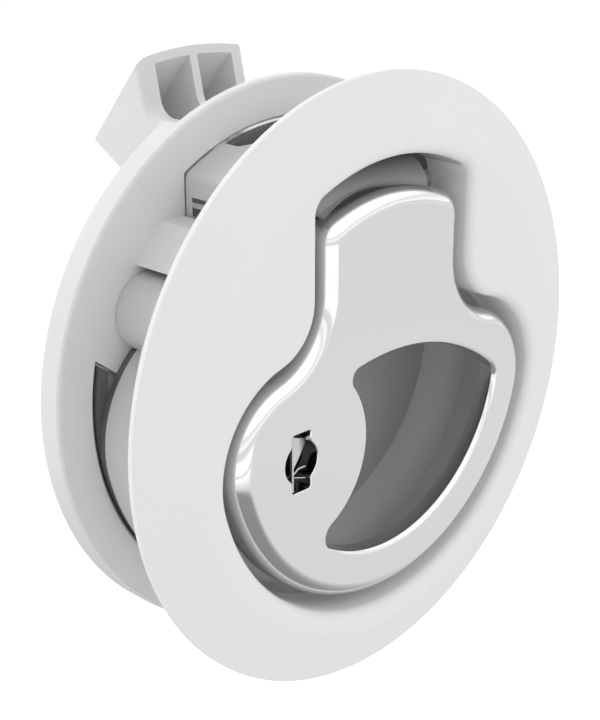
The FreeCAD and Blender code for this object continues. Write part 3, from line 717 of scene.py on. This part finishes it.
class PullOperator(bpy.types.Operator):
    """Makes the chrome pull with its finger opening and key opening"""
    bl_idname = "latch.pull"
    bl_label = "Chrome pull"

    def execute(self, context):
        sizes = context.scene.latch_sizes
        outer = keyhole_outline(sizes.recess_radius - sizes.pull_gap, sizes.neck_half - sizes.pull_gap,
                                sizes.pull_top, sizes.shoulder + sizes.pull_gap,
                                sizes.pull_corner).samples(0.4, 12)
        opening = opening_outline().samples(0.3, 10)
        key = key_outline().samples(0.3, 8)
        face = -3.1
        back = 0.5
        plate_back = -1.1
        wall = 2.1
        lip = 0.7
        key_edge = 0.12
        mesh = bmesh.new()
        loops = [add_loop(mesh, loop_points(outer, -wall, plate_back)),
                 add_loop(mesh, loop_points(outer, -wall, back)),
                 add_loop(mesh, loop_points(outer, 0, back))]
        for fall, rise in quarter_turn(10):
            loops.append(add_loop(mesh, loop_points(outer, -sizes.pull_round * rise, face + sizes.pull_round * fall)))
        skin(mesh, loops)
        hole = self.edged_hole(mesh, opening, lip, 6, face, plate_back)
        slot = self.edged_hole(mesh, key, key_edge, 3, face, plate_back)
        fill_between(mesh, [loops[-1], hole[0], slot[0]])
        fill_between(mesh, [loops[0], hole[-1], slot[-1]])
        mesh = combine(mesh, self.steps(plate_back))
        made = finish_mesh(mesh, "chrome_pull", "chrome")
        settle(made, "pull", "chrome", "handle")
        return {"FINISHED"}

    def edged_hole(self, mesh, samples, edge, steps, face, plate_back):
        """The wall of a hole through the plate, with a rounded front edge."""
        loops = [add_loop(mesh, loop_points(samples, edge * fall, face + edge * rise))
                 for fall, rise in quarter_turn(steps)]
        loops.append(add_loop(mesh, loop_points(samples, 0, plate_back)))
        skin(mesh, loops)
        return loops

    def steps(self, plate_back):
        """The lock's boss, the hinge hub and the lever with its lug, behind the plate."""
        start = plate_back - 0.2
        hub = 2.6
        left = -6.3
        right = 3.5
        half = 1.5
        reach = 15.2
        lever = [(PIVOT.x, PIVOT.y + half), (reach - 0.5, PIVOT.y + half), (reach, PIVOT.y + half - 0.5),
                 (reach, PIVOT.y - half + 0.3), (reach - 0.3, PIVOT.y - half), (PIVOT.x, PIVOT.y - half)]
        boss = [(5.3, start), (5.3, 3.9), (5.1, 4.1), (3.7, 4.1), (3.7, start)]
        neck = [(start, PIVOT.y - hub), (PIVOT.x, PIVOT.y - hub), (PIVOT.x, PIVOT.y - 0.2), (start, PIVOT.y - 0.2)]
        lug = [(6.3, PIVOT.y - half), (9.9, PIVOT.y - half), (9.9, PIVOT.y), (6.3, PIVOT.y)]
        return [
            ("UNION", drawn(lathe, boss, LOCK.x, LOCK.y, tube=True)),
            ("UNION", drawn(cross_rod, hub, left, right, PIVOT.x, PIVOT.y)),
            ("UNION", drawn(side_prism, neck, left + 0.001, right - 0.001)),
            ("UNION", drawn(side_prism, lever, -3.5 + 0.001, 3.5 - 0.002)),
            ("UNION", drawn(side_prism, lug, 2.5, 4.4)),
            ("DIFFERENCE", drawn(cross_rod, 1.15, left - 1, right + 1, PIVOT.x, PIVOT.y, 48)),
        ]


def new_tree(name, inputs):
    """An empty Geometry Nodes tree that takes the named inputs; returns the tree and its two end nodes."""
    tree = bpy.data.node_groups.new(name, "GeometryNodeTree")
    tree.interface.new_socket(name="Geometry", in_out="INPUT", socket_type="NodeSocketGeometry")
    for label, kind in inputs:
        tree.interface.new_socket(name=label, in_out="INPUT", socket_type=kind)
    tree.interface.new_socket(name="Geometry", in_out="OUTPUT", socket_type="NodeSocketGeometry")
    return tree, tree.nodes.new("NodeGroupInput"), tree.nodes.new("NodeGroupOutput")


def end_tree(tree, entry, leave, node, output):
    """Realize Instances, Set Material, and out."""
    real = add_node(tree, "GeometryNodeRealizeInstances")
    finish = add_node(tree, "GeometryNodeSetMaterial")
    join(tree, (node, output, real, "Geometry"), (real, "Geometry", finish, "Geometry"),
         (entry, "Finish", finish, "Material"), (finish, "Geometry", leave, "Geometry"))


def wire_tree():
    """Sweeps a round wire along the piece's own path."""
    tree, entry, leave = new_tree("wire along a path", (
        ("Wire radius", "NodeSocketFloat"), ("Wire sides", "NodeSocketInt"), ("Finish", "NodeSocketMaterial")))
    path = add_node(tree, "GeometryNodeMeshToCurve")
    ring = add_node(tree, "GeometryNodeCurvePrimitiveCircle")
    sweep = add_node(tree, "GeometryNodeCurveToMesh", {"Fill Caps": True})
    join(tree, (entry, "Geometry", path, "Mesh"), (entry, "Wire radius", ring, "Radius"),
         (entry, "Wire sides", ring, "Resolution"), (path, "Curve", sweep, "Curve"),
         (ring, "Curve", sweep, "Profile Curve"))
    end_tree(tree, entry, leave, sweep, "Mesh")
    return tree


def rows_tree():
    """Repeats the piece's own mesh in columns along X and rows along Z."""
    tree, entry, leave = new_tree("rows of screws", (
        ("Columns", "NodeSocketInt"), ("Column step", "NodeSocketFloat"), ("Rows", "NodeSocketInt"),
        ("Row step", "NodeSocketFloat"), ("First place", "NodeSocketVector"), ("Finish", "NodeSocketMaterial")))
    across, upward = (add_node(tree, "GeometryNodeMeshLine", mode="OFFSET", count_mode="TOTAL") for _ in range(2))
    step_x, step_z = (add_node(tree, "ShaderNodeCombineXYZ") for _ in range(2))
    columns, rows = (add_node(tree, "GeometryNodeInstanceOnPoints") for _ in range(2))
    join(tree, (entry, "Columns", across, "Count"), (entry, "Column step", step_x, "X"),
         (step_x, "Vector", across, "Offset"), (entry, "Rows", upward, "Count"), (entry, "Row step", step_z, "Z"),
         (step_z, "Vector", upward, "Offset"), (entry, "First place", upward, "Start Location"),
         (across, "Mesh", columns, "Points"), (entry, "Geometry", columns, "Instance"),
         (upward, "Mesh", rows, "Points"), (columns, "Instances", rows, "Instance"))
    end_tree(tree, entry, leave, rows, "Instances")
    return tree


def grown(name, slot, mesh, tree, values, smooth=SMOOTH_LIMIT):
    """The plain mesh that a tree makes of a bmesh, as a finished piece."""
    carrier = scratch_object(mesh)
    step = carrier.modifiers.new("nodes", "NODES")
    step.node_group = tree
    values = dict(values, Finish=finish_for(slot))
    for item in tree.interface.items_tree:
        if item.in_out == "INPUT" and item.name in values:
            step[item.identifier] = values[item.name]
    data = evaluated_mesh(carrier)
    result = bmesh.new()
    result.from_mesh(data)
    bpy.data.meshes.remove(data)
    old = carrier.data
    carrier.modifiers.remove(step)
    bpy.data.objects.remove(carrier)
    bpy.data.meshes.remove(old)
    return finish_mesh(result, name, slot, smooth)


def path_mesh(points):
    """A run of edges through the points, in mm."""
    mesh = bmesh.new()
    corners = [mesh.verts.new(point * MM) for point in points]
    for first, second in zip(corners, corners[1:]):
        mesh.edges.new((first, second))
    return mesh


SLIDE_SPRING_Y = 13.625


class SpringsOperator(bpy.types.Operator):
    """Makes the pull's torsion spring and the slide's coil spring"""
    bl_idname = "latch.springs"
    bl_label = "Springs"

    def execute(self, context):
        tree = wire_tree()
        values = {"Wire radius": 0.25 * MM, "Wire sides": 14}
        made = grown("pull_spring", "spring_steel", path_mesh(self.torsion_path()), tree, values)
        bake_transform(made)
        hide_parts("return_spring")
        values = {"Wire radius": 0.3 * MM, "Wire sides": 14}
        made = grown("slide_spring", "spring_steel", path_mesh(self.slide_path()), tree, values)
        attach(made, "frame")
        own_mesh(made)
        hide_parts("pawl_spring")
        return {"FINISHED"}

    def torsion_path(self):
        """Up from the case, round the pin towards the left, and back under the lever's lug."""
        coil = 1.78
        left = 3.95
        turns = 3.75
        pitch = 0.55
        foot = 10.2
        leg = 8.2
        tail = 6.5
        width = pitch * turns
        turn = turns * 2 * math.pi
        count = 180
        points = [Vector((left + width, PIVOT.x + coil, foot + leg * index / 12)) for index in range(12)]
        for index in range(count + 1):
            part = index / count
            angle = turn * part
            points.append(Vector((left + width * (1 - part), PIVOT.x + coil * math.cos(angle),
                                  PIVOT.y + coil * math.sin(angle))))
        points.extend(Vector((left, PIVOT.x + tail * index / 10, PIVOT.y - coil)) for index in range(1, 11))
        return points

    def slide_path(self):
        """A coil with closed ends."""
        coil = 2.0
        low = -15.2
        high = 4.2
        turns = 8
        closed = 0.62
        per_turn = 48
        free = (high - low - 2 * closed) / (turns - 2)
        points = []
        for index in range(turns * per_turn + 1):
            turn = index / per_turn
            z = low + closed * min(turn, 1) + free * max(0, min(turn - 1, turns - 2))
            z += closed * max(0, turn - turns + 1)
            angle = 2 * math.pi * turn
            points.append(Vector((coil * math.cos(angle), SLIDE_SPRING_Y + coil * math.sin(angle), z)))
        return points


def screw_mesh(head, height, shank, length, seat, slots):
    """A round-headed screw along Y, its head's seat at y = seat and its driver slots cut."""
    top = seat + height
    edge = height * 0.45
    profile = [(shank * 0.75, seat - length), (shank, seat - length + shank * 0.4), (shank, seat), (head, seat)]
    profile += [(head - edge * rise, top - edge * fall) for fall, rise in quarter_turn(5)]
    rod = drawn(lathe, profile, count=40)
    steps = []
    for along, across in slots:
        low = top - height * 0.55
        corners = [(low, -across), (top + 1, -across), (top + 1, across), (low, across)]
        steps.append(("DIFFERENCE", drawn(side_prism, corners, -along, along)))
    return combine(rod, steps)


class ScrewsOperator(bpy.types.Operator):
    """Makes the ring's two screws and the rear cover's four"""
    bl_idname = "latch.screws"
    bl_label = "Screws"

    def execute(self, context):
        tree = rows_tree()
        ring = screw_mesh(2.8, 2.0, 1.2, 9.5, 15.15, ((1.68, 0.35), (0.35, 1.68)))
        values = {"Columns": 2, "Column step": 36.4 * MM, "Rows": 1, "Row step": 0.0,
                  "First place": (-BOSS_PLACE.x * MM, 0.0, BOSS_PLACE.y * MM)}
        made = grown("ring_screw_pair", "zinc_steel", ring, tree, values)
        settle(made, "frame", "zinc_steel", "ring_screws")
        cover = screw_mesh(1.9, 1.2, 1.0, 6.0, 18.4, ((3.0, 0.3),))
        values = {"Columns": 2, "Column step": 29.2 * MM, "Rows": 2, "Row step": 15.5 * MM,
                  "First place": (-14.6 * MM, 0.0, -12.5 * MM)}
        made = grown("cover_screw_set", "zinc_steel", cover, tree, values)
        settle(made, "frame", "zinc_steel", "cover_screws")
        return {"FINISHED"}


class ShutterOperator(bpy.types.Operator):
    """Makes the small bright flap in the key slot"""
    bl_idname = "latch.shutter"
    bl_label = "Key shutter"

    def execute(self, context):
        mesh = bmesh.new()
        self.bar(mesh, [Vector((-0.98, -2.86, 2.8)), Vector((-0.98, -2.86, -2.8))], 0.1)
        self.bar(mesh, [Vector((-0.95, -2.75, -1.2)), Vector((0.0, -2.6, -0.8)), Vector((1.0, -2.5, -0.85))], 0.08)
        self.bar(mesh, [Vector((-0.95, -2.75, -1.35)), Vector((0.95, -2.6, -2.0))], 0.06)
        self.flap(mesh)
        made = finish_mesh(mesh, "key_shutter", "shutter_steel", math.radians(40))
        settle(made, "shutter", "shutter_steel", "dust_shutter")
        return {"FINISHED"}

    def place(self, point):
        return Vector((LOCK.x + point.x, point.y, LOCK.y + point.z)) * MM

    def bar(self, mesh, points, radius):
        """A thin round bar through points of the XZ plane."""
        loops = []
        for index, point in enumerate(points):
            before = points[max(index - 1, 0)]
            after = points[min(index + 1, len(points) - 1)]
            along = (after - before).normalized()
            side = along.cross(Vector((0, 1, 0))).normalized()
            up = side.cross(along)
            loop = []
            for step in range(10):
                angle = 2 * math.pi * step / 10
                loop.append(self.place(point + side * radius * math.cos(angle) + up * radius * math.sin(angle)))
            loops.append(add_loop(mesh, loop))
        skin(mesh, loops, capped=True)

    def flap(self, mesh):
        """A curved wedge, widest near its top and running out to a point below."""
        rows = 14
        across = 8
        thick = 0.2
        sheets = []
        for back in (0.0, thick):
            grid = []
            for row in range(rows + 1):
                part = row / rows
                z = 2.72 - 3.2 * part
                if part < 0.25:
                    right = -0.9 + 1.95 * part / 0.25
                elif part < 0.45:
                    right = 1.05 + 0.5 * (part - 0.25) / 0.2
                else:
                    right = 1.55 - 2.4 * ((part - 0.45) / 0.55) ** 0.6
                line = []
                for column in range(across + 1):
                    x = -0.98 + (right + 0.98) * column / across
                    y = -2.85 + back + 0.5 * ((x + 0.98) / 1.98) ** 2
                    line.append(mesh.verts.new(self.place(Vector((x, y, z)))))
                grid.append(line)
            sheets.append(grid)
        for grid in sheets:
            for row in range(rows):
                for column in range(across):
                    mesh.faces.new((grid[row][column], grid[row][column + 1], grid[row + 1][column + 1],
                                    grid[row + 1][column]))
        front, back = sheets
        rim = [(0, column) for column in range(across)] + [(row, across) for row in range(rows)]
        rim += [(rows, column) for column in range(across, 0, -1)] + [(row, 0) for row in range(rows, 0, -1)]
        for index, (row, column) in enumerate(rim):
            next_row, next_column = rim[(index + 1) % len(rim)]
            mesh.faces.new((front[row][column], front[next_row][next_column], back[next_row][next_column],
                            back[row][column]))


COPIES = (
    ("pawl", "ramped_pawl", "light_plastic", "slide", 0.3),
    ("rear_housing", "dark_case", "dark_plastic", "frame", 0.0),
    ("rear_cover", "back_cover", "dark_plastic", "frame", 0.15),
)


CUP_FLOOR = 9.15
CUP_TOP = 10.5
HINGE_WINDOW = (-8.1, 8.1, 2.0, 6.7, 15.2, 21.95)


class CopiesOperator(bpy.types.Operator):
    """Makes the smooth copies of the pawl, case and cover"""
    bl_idname = "latch.copies"
    bl_label = "Pawl, case and cover"

    def execute(self, context):
        for node, name, slot, body, soften in COPIES:
            is_case = node == "rear_housing"
            window = [("DIFFERENCE", drawn(box, *HINGE_WINDOW))] if is_case else []
            made = copy_of_node(node, name, slot, soften=soften, steps=window)
            if is_case:
                self.line_cup(made)
            settle(made, body, slot, node)
        self.cup_fillet()
        return {"FINISHED"}

    def cup_fillet(self):
        """The round run from the cup's wall into its floor."""
        reach = 3.5
        wall = 22.85
        floor = 9.13
        profile = []
        for index in range(13):
            angle = math.pi / 2 * index / 12
            profile.append((wall - reach + reach * math.cos(angle), floor - reach + reach * math.sin(angle)))
        profile.append((wall, floor))
        low = drawn(box, -40, 40, -5, 20, -40, 8.0)
        ring = combine(drawn(lathe, profile, count=180, tube=True), [("INTERSECT", low)])
        # The fillet gets the cup wall's lighter copy of the dark moulding: painted light.
        made = finish_mesh(ring, "cup_fillet", "cup_wall_painted_light")
        settle(made, "frame", "dark_plastic")

    def line_cup(self, made):
        """The finger cup's inside gets lighter copies of the dark moulding as painted light, its wall lighter than
        its floor.
        """
        made.data.materials.append(finish_for("cup_floor_painted_light"))
        made.data.materials.append(finish_for("cup_wall_painted_light"))
        for face in made.data.polygons:
            middle = face.center / MM
            turned_in = face.normal.x * middle.x + face.normal.z * middle.z < 0
            wall = 2.6 < middle.y < 9.2 and turned_in and math.hypot(middle.x, middle.z) < 23.2
            floor = abs(middle.y - CUP_FLOOR) < 0.1 and face.normal.y < -0.9
            if middle.z < CUP_TOP and (floor or wall):
                face.material_index = 1 if floor else 2


class GuardOperator(bpy.types.Operator):
    """Makes the dark guard round the hinge hub, seen above the pull"""
    bl_idname = "latch.guard"
    bl_label = "Hinge guard"

    def execute(self, context):
        mesh = bmesh.new()
        self.band(mesh, -7.9, 7.9, 2.75, 3.15, 235.0, 60.0)
        # The guard gets a lighter copy of the dark moulding: painted light for a face in shade.
        made = finish_mesh(mesh, "hinge_guard", "guard_grey_painted_light")
        settle(made, "pull", "dark_plastic")
        return {"FINISHED"}

    def band(self, mesh, x0, x1, inner, outer, start, end):
        """A curved strip about the hinge, between two angles from +Y towards +Z, in degrees."""
        rounding = 0.2
        count = 40
        loops = []
        for index in range(count + 1):
            angle = math.radians(start + (end - start) * index / count)
            loop = []
            for x, radius in ((x0, inner), (x0, outer - rounding), (x0 + rounding, outer), (x1 - rounding, outer),
                              (x1, outer - rounding), (x1, inner)):
                loop.append(Vector((x, PIVOT.x + radius * math.cos(angle), PIVOT.y + radius * math.sin(angle))) * MM)
            loops.append(add_loop(mesh, loop))
        skin(mesh, loops, capped=True)


class RingOperator(bpy.types.Operator):
    """Makes the clamp ring with its webs and locating pads"""
    bl_idname = "latch.ring"
    bl_label = "Clamp ring"

    def execute(self, context):
        samples = recess_samples(context.scene.latch_sizes)
        front = 12.35
        back = 15.15
        outer = 29.2
        edge = 0.35
        hole = 25.0
        neck = 13.2
        relief_depth = 1.05
        screw_hole = 1.45
        profile = [(outer - edge * fall, front + edge * rise) for fall, rise in quarter_turn(6)]
        profile += [(outer, back - 0.2), (outer - 0.06, back - 0.06), (outer - 0.2, back)]
        around = drawn(outline_prism, samples, 1.4, front - 1, back + 1)
        steps = [("UNION", drawn(box, -neck, neck, front - 1.01, back + 1.01, 0, 40))]
        steps += [("UNION", drawn(self.below_web, side, front - 1.02, back + 1.02)) for side in (-1, 1)]
        steps.append(("INTERSECT", drawn(lathe, [(hole + 0.3, front - 0.1), (hole + 0.3, front), (hole, front + 0.3),
                                                 (hole, back + 2)], count=240)))
        opening = combine(around, steps)
        pads = [("UNION", self.pad(samples, side, front, back)) for side in (-1, 1)]
        bore = [(screw_hole, front - 1), (screw_hole, back + 1)]
        holes = [("DIFFERENCE", drawn(lathe, bore, side * BOSS_PLACE.x, BOSS_PLACE.y, 32)) for side in (-1, 1)]
        relief = ("DIFFERENCE", drawn(box, -neck, neck, front + relief_depth, back + 1, 0, 40))
        mesh = combine(drawn(lathe, profile, count=240), [("DIFFERENCE", opening), relief] + pads + holes)
        made = finish_mesh(mesh, "clamp_ring", "light_plastic")
        settle(made, "frame", "light_plastic", "mounting_ring")
        lip = drawn(lathe, [(24.8, front - 0.09), (24.8, back - 0.3), (23.6, back - 0.3), (23.6, front - 0.09)],
                    count=240, tube=True)
        below = combine(drawn(self.below_web, 1, front - 1, back + 1, 0.4),
                        [("UNION", drawn(self.below_web, -1, front - 1.01, back + 1.01, 0.4))])
        made = finish_mesh(combine(lip, [("INTERSECT", below)]), "case_lip", "dark_plastic")
        settle(made, "frame", "dark_plastic")
        return {"FINISHED"}

    def below_web(self, mesh, side, y0, y1, drop=0.0):
        """Everything below a web's sloping lower edge, on one side."""
        slope = (5.6 - 3.4) / (24.4 - 21.5)
        left = 3.4 - slope * 21.5 - drop
        right = 3.4 + slope * (40 - 21.5) - drop
        corners = [(0.0, left), (40.0, right), (40.0, -40.0), (0.0, -40.0)]
        loops = [add_loop(mesh, [Vector((side * x, y, z)) * MM for x, z in corners]) for y in (y0, y1)]
        skin(mesh, loops, capped=True)

    def pad(self, samples, side, front, back):
        """The pad between neck wall and screw boss."""
        start = front - 9.0
        end = back - 1.4
        soft = 0.4
        reach = 23.8
        inner_end = 13.45
        top = 17.5
        wall_offset = 2.55
        plane = 4.62
        slope = math.radians(26.0)
        rod = drawn(lathe, [(reach - soft, start), (reach, start + soft), (reach, end)], count=240)
        near = drawn(box, *sorted((side * inner_end, side * 40)), start - 1, end + 1, 0, top)
        wall = drawn(outline_prism, samples, wall_offset, start - 2, end + 2)
        below = drawn(box, -40, 40, -20, 20, -40, plane)
        turn = Matrix.Rotation(slope * side, 4, "Y")
        place = Matrix.Translation(Vector((side * BOSS_PLACE.x, front - 1, BOSS_PLACE.y)) * MM)
        bmesh.ops.transform(below, matrix=place @ turn, verts=below.verts)
        return combine(rod, [("INTERSECT", near), ("DIFFERENCE", wall), ("DIFFERENCE", below)])


class FinishesOperator(bpy.types.Operator):
    """Gives every CAD node its finish"""
    bl_idname = "latch.finishes"
    bl_label = "Finishes of the CAD nodes"

    def execute(self, context):
        for part in frame["record"]["subparts"]:
            node = frame["nodes"][part["node"]]
            node.data.materials.clear()
            node.data.materials.append(finish_for(part["material_slot"]))
        return {"FINISHED"}


# Stage
CAMERA_PLACE = Vector((-99.83, -88.50, 52.18)) * MM
CAMERA_AIM = Vector((-10.82, -0.6, 5.61)) * MM
CAMERA_LENS = 71.86
FLOOR_DROP = 0.075


def add_shades(tree, node, output, shades):
    """A ramp of grey shades over a node's value."""
    ramp = add_node(tree, "ShaderNodeValToRGB")
    ramp.color_ramp.interpolation = "EASE"
    marks = ramp.color_ramp.elements
    while len(marks) < len(shades):
        marks.new(0.5)
    for mark, (place, shade) in zip(marks, shades):
        mark.position = place
        mark.color = (shade, shade, shade, 1)
    join(tree, (node, output, ramp, "Fac"))
    return ramp


def rays_mix(tree, output, plain, seen, mirrored):
    """Plain light, but one look to the camera and through glass, and another in reflections."""
    rays = add_node(tree, "ShaderNodeLightPath")
    first, second = (add_node(tree, "ShaderNodeMixShader") for _ in range(2))
    either = add_node(tree, "ShaderNodeMath", operation="MAXIMUM")
    join(tree, (rays, "Is Camera Ray", either, 0), (rays, "Is Transmission Ray", either, 1),
         (rays, "Is Glossy Ray", first, "Fac"), (plain, 0, first, 1), (mirrored, 0, first, 2),
         (either, 0, second, "Fac"), (first, 0, second, 1), (seen, 0, second, 2), (second, 0, output, "Surface"))


FLOOR_LIFT = 0.27
ROOM_LIGHT = 0.86
LAMP_SIZE = 0.3
KEY_PLACE = (0.18, -0.45, 0.36)
KEY_POWER = 0.33
BACK_PLACE = (-0.24, 0.45, 0.30)
BACK_POWER = 1.3
# Painted reflections: shades that only glossy rays see in the floor, dark bands and bright bands over 1 that draw
# streaks on the chrome; the dark near the latch is a painted shadow.
NEAR_SHADES = ((0.0, 0.30), (0.36, 0.34), (0.47, 0.95), (0.62, 1.3), (0.738, 1.3), (0.752, 0.38), (0.785, 0.38),
               (0.80, 1.3))
FAR_SHADES = ((0.0, 0.6), (0.35, 0.86), (0.6, 0.88), (1.0, 0.86))
# Painted reflections: shades of the world that only glossy rays see, darker and over-bright bands by height.
ROOM_SHADES = ((0.0, 0.9), (0.5, 0.95), (0.55, 0.85), (0.60, 1.25), (0.68, 1.0), (0.75, 1.35), (1.0, 1.35))


def floor_white(name):
    """White paper to the camera; reflections see painted shades of it, by distance from the latch."""
    material = bpy.data.materials.new(name)
    material.use_nodes = True
    tree = material.node_tree
    tree.nodes.clear()
    output = add_node(tree, "ShaderNodeOutputMaterial")
    diffuse = add_node(tree, "ShaderNodeBsdfDiffuse", {"Color": (0.85, 0.85, 0.85, 1)})
    glow = add_node(tree, "ShaderNodeEmission", {"Strength": FLOOR_LIFT})
    seen = add_node(tree, "ShaderNodeAddShader")
    mirrored = add_node(tree, "ShaderNodeEmission")
    place = add_node(tree, "ShaderNodeTexCoord")
    split = add_node(tree, "ShaderNodeSeparateXYZ")
    level = add_node(tree, "ShaderNodeVectorMath", operation="MULTIPLY")
    level.inputs[1].default_value = (1, 1, 0)
    size = add_node(tree, "ShaderNodeVectorMath", operation="LENGTH")
    spread = add_node(tree, "ShaderNodeMapRange", {"From Max": 0.3})
    side = add_node(tree, "ShaderNodeMapRange", {"From Min": 0.0, "From Max": 0.06}, interpolation_type="SMOOTHSTEP")
    blend = add_node(tree, "ShaderNodeMixRGB")
    near = add_shades(tree, spread, "Result", NEAR_SHADES)
    far = add_shades(tree, spread, "Result", FAR_SHADES)
    join(tree, (diffuse, 0, seen, 0), (glow, 0, seen, 1), (place, "Object", split, "Vector"),
         (place, "Object", level, 0), (level, "Vector", size, 0), (size, "Value", spread, "Value"),
         (split, "X", side, "Value"), (side, "Result", blend, "Fac"), (near, "Color", blend, "Color1"),
         (far, "Color", blend, "Color2"), (blend, "Color", mirrored, "Color"))
    rays_mix(tree, output, diffuse, seen, mirrored)
    return material


def soft_room(name, strength):
    """An even world that is white to the camera; reflections see painted shades of it, by height."""
    world = bpy.data.worlds.new(name)
    world.use_nodes = True
    tree = world.node_tree
    tree.nodes.clear()
    output = add_node(tree, "ShaderNodeOutputWorld")
    plain = add_node(tree, "ShaderNodeBackground", {"Color": (1, 1, 1, 1), "Strength": strength})
    white = add_node(tree, "ShaderNodeBackground", {"Color": (1, 1, 1, 1)})
    mirrored = add_node(tree, "ShaderNodeBackground")
    place = add_node(tree, "ShaderNodeTexCoord")
    split = add_node(tree, "ShaderNodeSeparateXYZ")
    spread = add_node(tree, "ShaderNodeMapRange", {"From Min": -1.0, "From Max": 1.0})
    shades = add_shades(tree, spread, "Result", ROOM_SHADES)
    join(tree, (place, "Generated", split, "Vector"), (split, "Z", spread, "Value"),
         (shades, "Color", mirrored, "Color"))
    rays_mix(tree, output, plain, white, mirrored)
    return world


def add_lamp(name, place, power):
    """A soft round lamp aimed at the latch, not seen in reflections."""
    data = bpy.data.lights.new(name, "AREA")
    data.shape = "DISK"
    data.size = LAMP_SIZE
    data.energy = power
    lamp = bpy.data.objects.new(name, data)
    lamp.location = place
    lamp.rotation_euler = (-Vector(place)).to_track_quat("-Z", "Y").to_euler()
    lamp.visible_glossy = False
    bpy.context.scene.collection.objects.link(lamp)
    return lamp


class StageOperator(bpy.types.Operator):
    """Makes the pale floor, the soft lamps, the world and the camera"""
    bl_idname = "latch.stage"
    bl_label = "Stage"

    def execute(self, context):
        scene = context.scene
        scene.view_settings.view_transform = "Standard"
        mesh = bmesh.new()
        bmesh.ops.create_grid(mesh, x_segments=2, y_segments=2, size=1.5)
        data = bpy.data.meshes.new("floor")
        mesh.to_mesh(data)
        mesh.free()
        data.transform(Matrix.Translation((0, 0, -FLOOR_DROP)))
        floor = bpy.data.objects.new("floor", data)
        floor.data.materials.append(floor_white("floor_white"))
        scene.collection.objects.link(floor)
        scene.world = soft_room("soft room", ROOM_LIGHT)
        add_lamp("key", KEY_PLACE, KEY_POWER)
        add_lamp("back", BACK_PLACE, BACK_POWER)
        data = bpy.data.cameras.new("camera")
        data.lens = CAMERA_LENS
        data.sensor_width = 36.0
        data.clip_start = 0.005
        camera = bpy.data.objects.new("camera", data)
        camera.location = CAMERA_PLACE
        camera.rotation_euler = (CAMERA_AIM - CAMERA_PLACE).to_track_quat("-Z", "Y").to_euler()
        scene.collection.objects.link(camera)
        scene.camera = camera
        return {"FINISHED"}


class LatchPanel(bpy.types.Panel):
    """Lists the pieces in the sidebar"""
    bl_idname = "VIEW3D_PT_latch"
    bl_label = "Latch"
    bl_space_type = "VIEW_3D"
    bl_region_type = "UI"
    bl_category = "Latch"

    def draw(self, context):
        for operator in OPERATORS:
            self.layout.operator(operator.bl_idname)
        for name in LatchColours.__annotations__:
            self.layout.prop(context.scene.latch_colours, name)
        for name in LatchSizes.__annotations__:
            self.layout.prop(context.scene.latch_sizes, name)


OPERATORS = (FinishesOperator, BezelOperator, PullOperator, RingOperator, CopiesOperator, GuardOperator,
             SpringsOperator, ScrewsOperator, ShutterOperator, StageOperator)
CLASSES = (LatchSizes, LatchColours) + OPERATORS + (LatchPanel,)


def register():
    for item in CLASSES:
        bpy.utils.register_class(item)
    bpy.types.Scene.latch_sizes = bpy.props.PointerProperty(type=LatchSizes)
    bpy.types.Scene.latch_colours = bpy.props.PointerProperty(type=LatchColours)


def unregister():
    del bpy.types.Scene.latch_colours
    del bpy.types.Scene.latch_sizes
    for item in reversed(CLASSES):
        bpy.utils.unregister_class(item)


def main():
    register()
    bpy.ops.latch.finishes()
    bpy.ops.latch.bezel()
    bpy.ops.latch.pull()
    bpy.ops.latch.ring()
    bpy.ops.latch.copies()
    bpy.ops.latch.guard()
    bpy.ops.latch.springs()
    bpy.ops.latch.screws()
    bpy.ops.latch.shutter()
    bpy.ops.latch.stage()


if __name__ == "__main__":
    main()
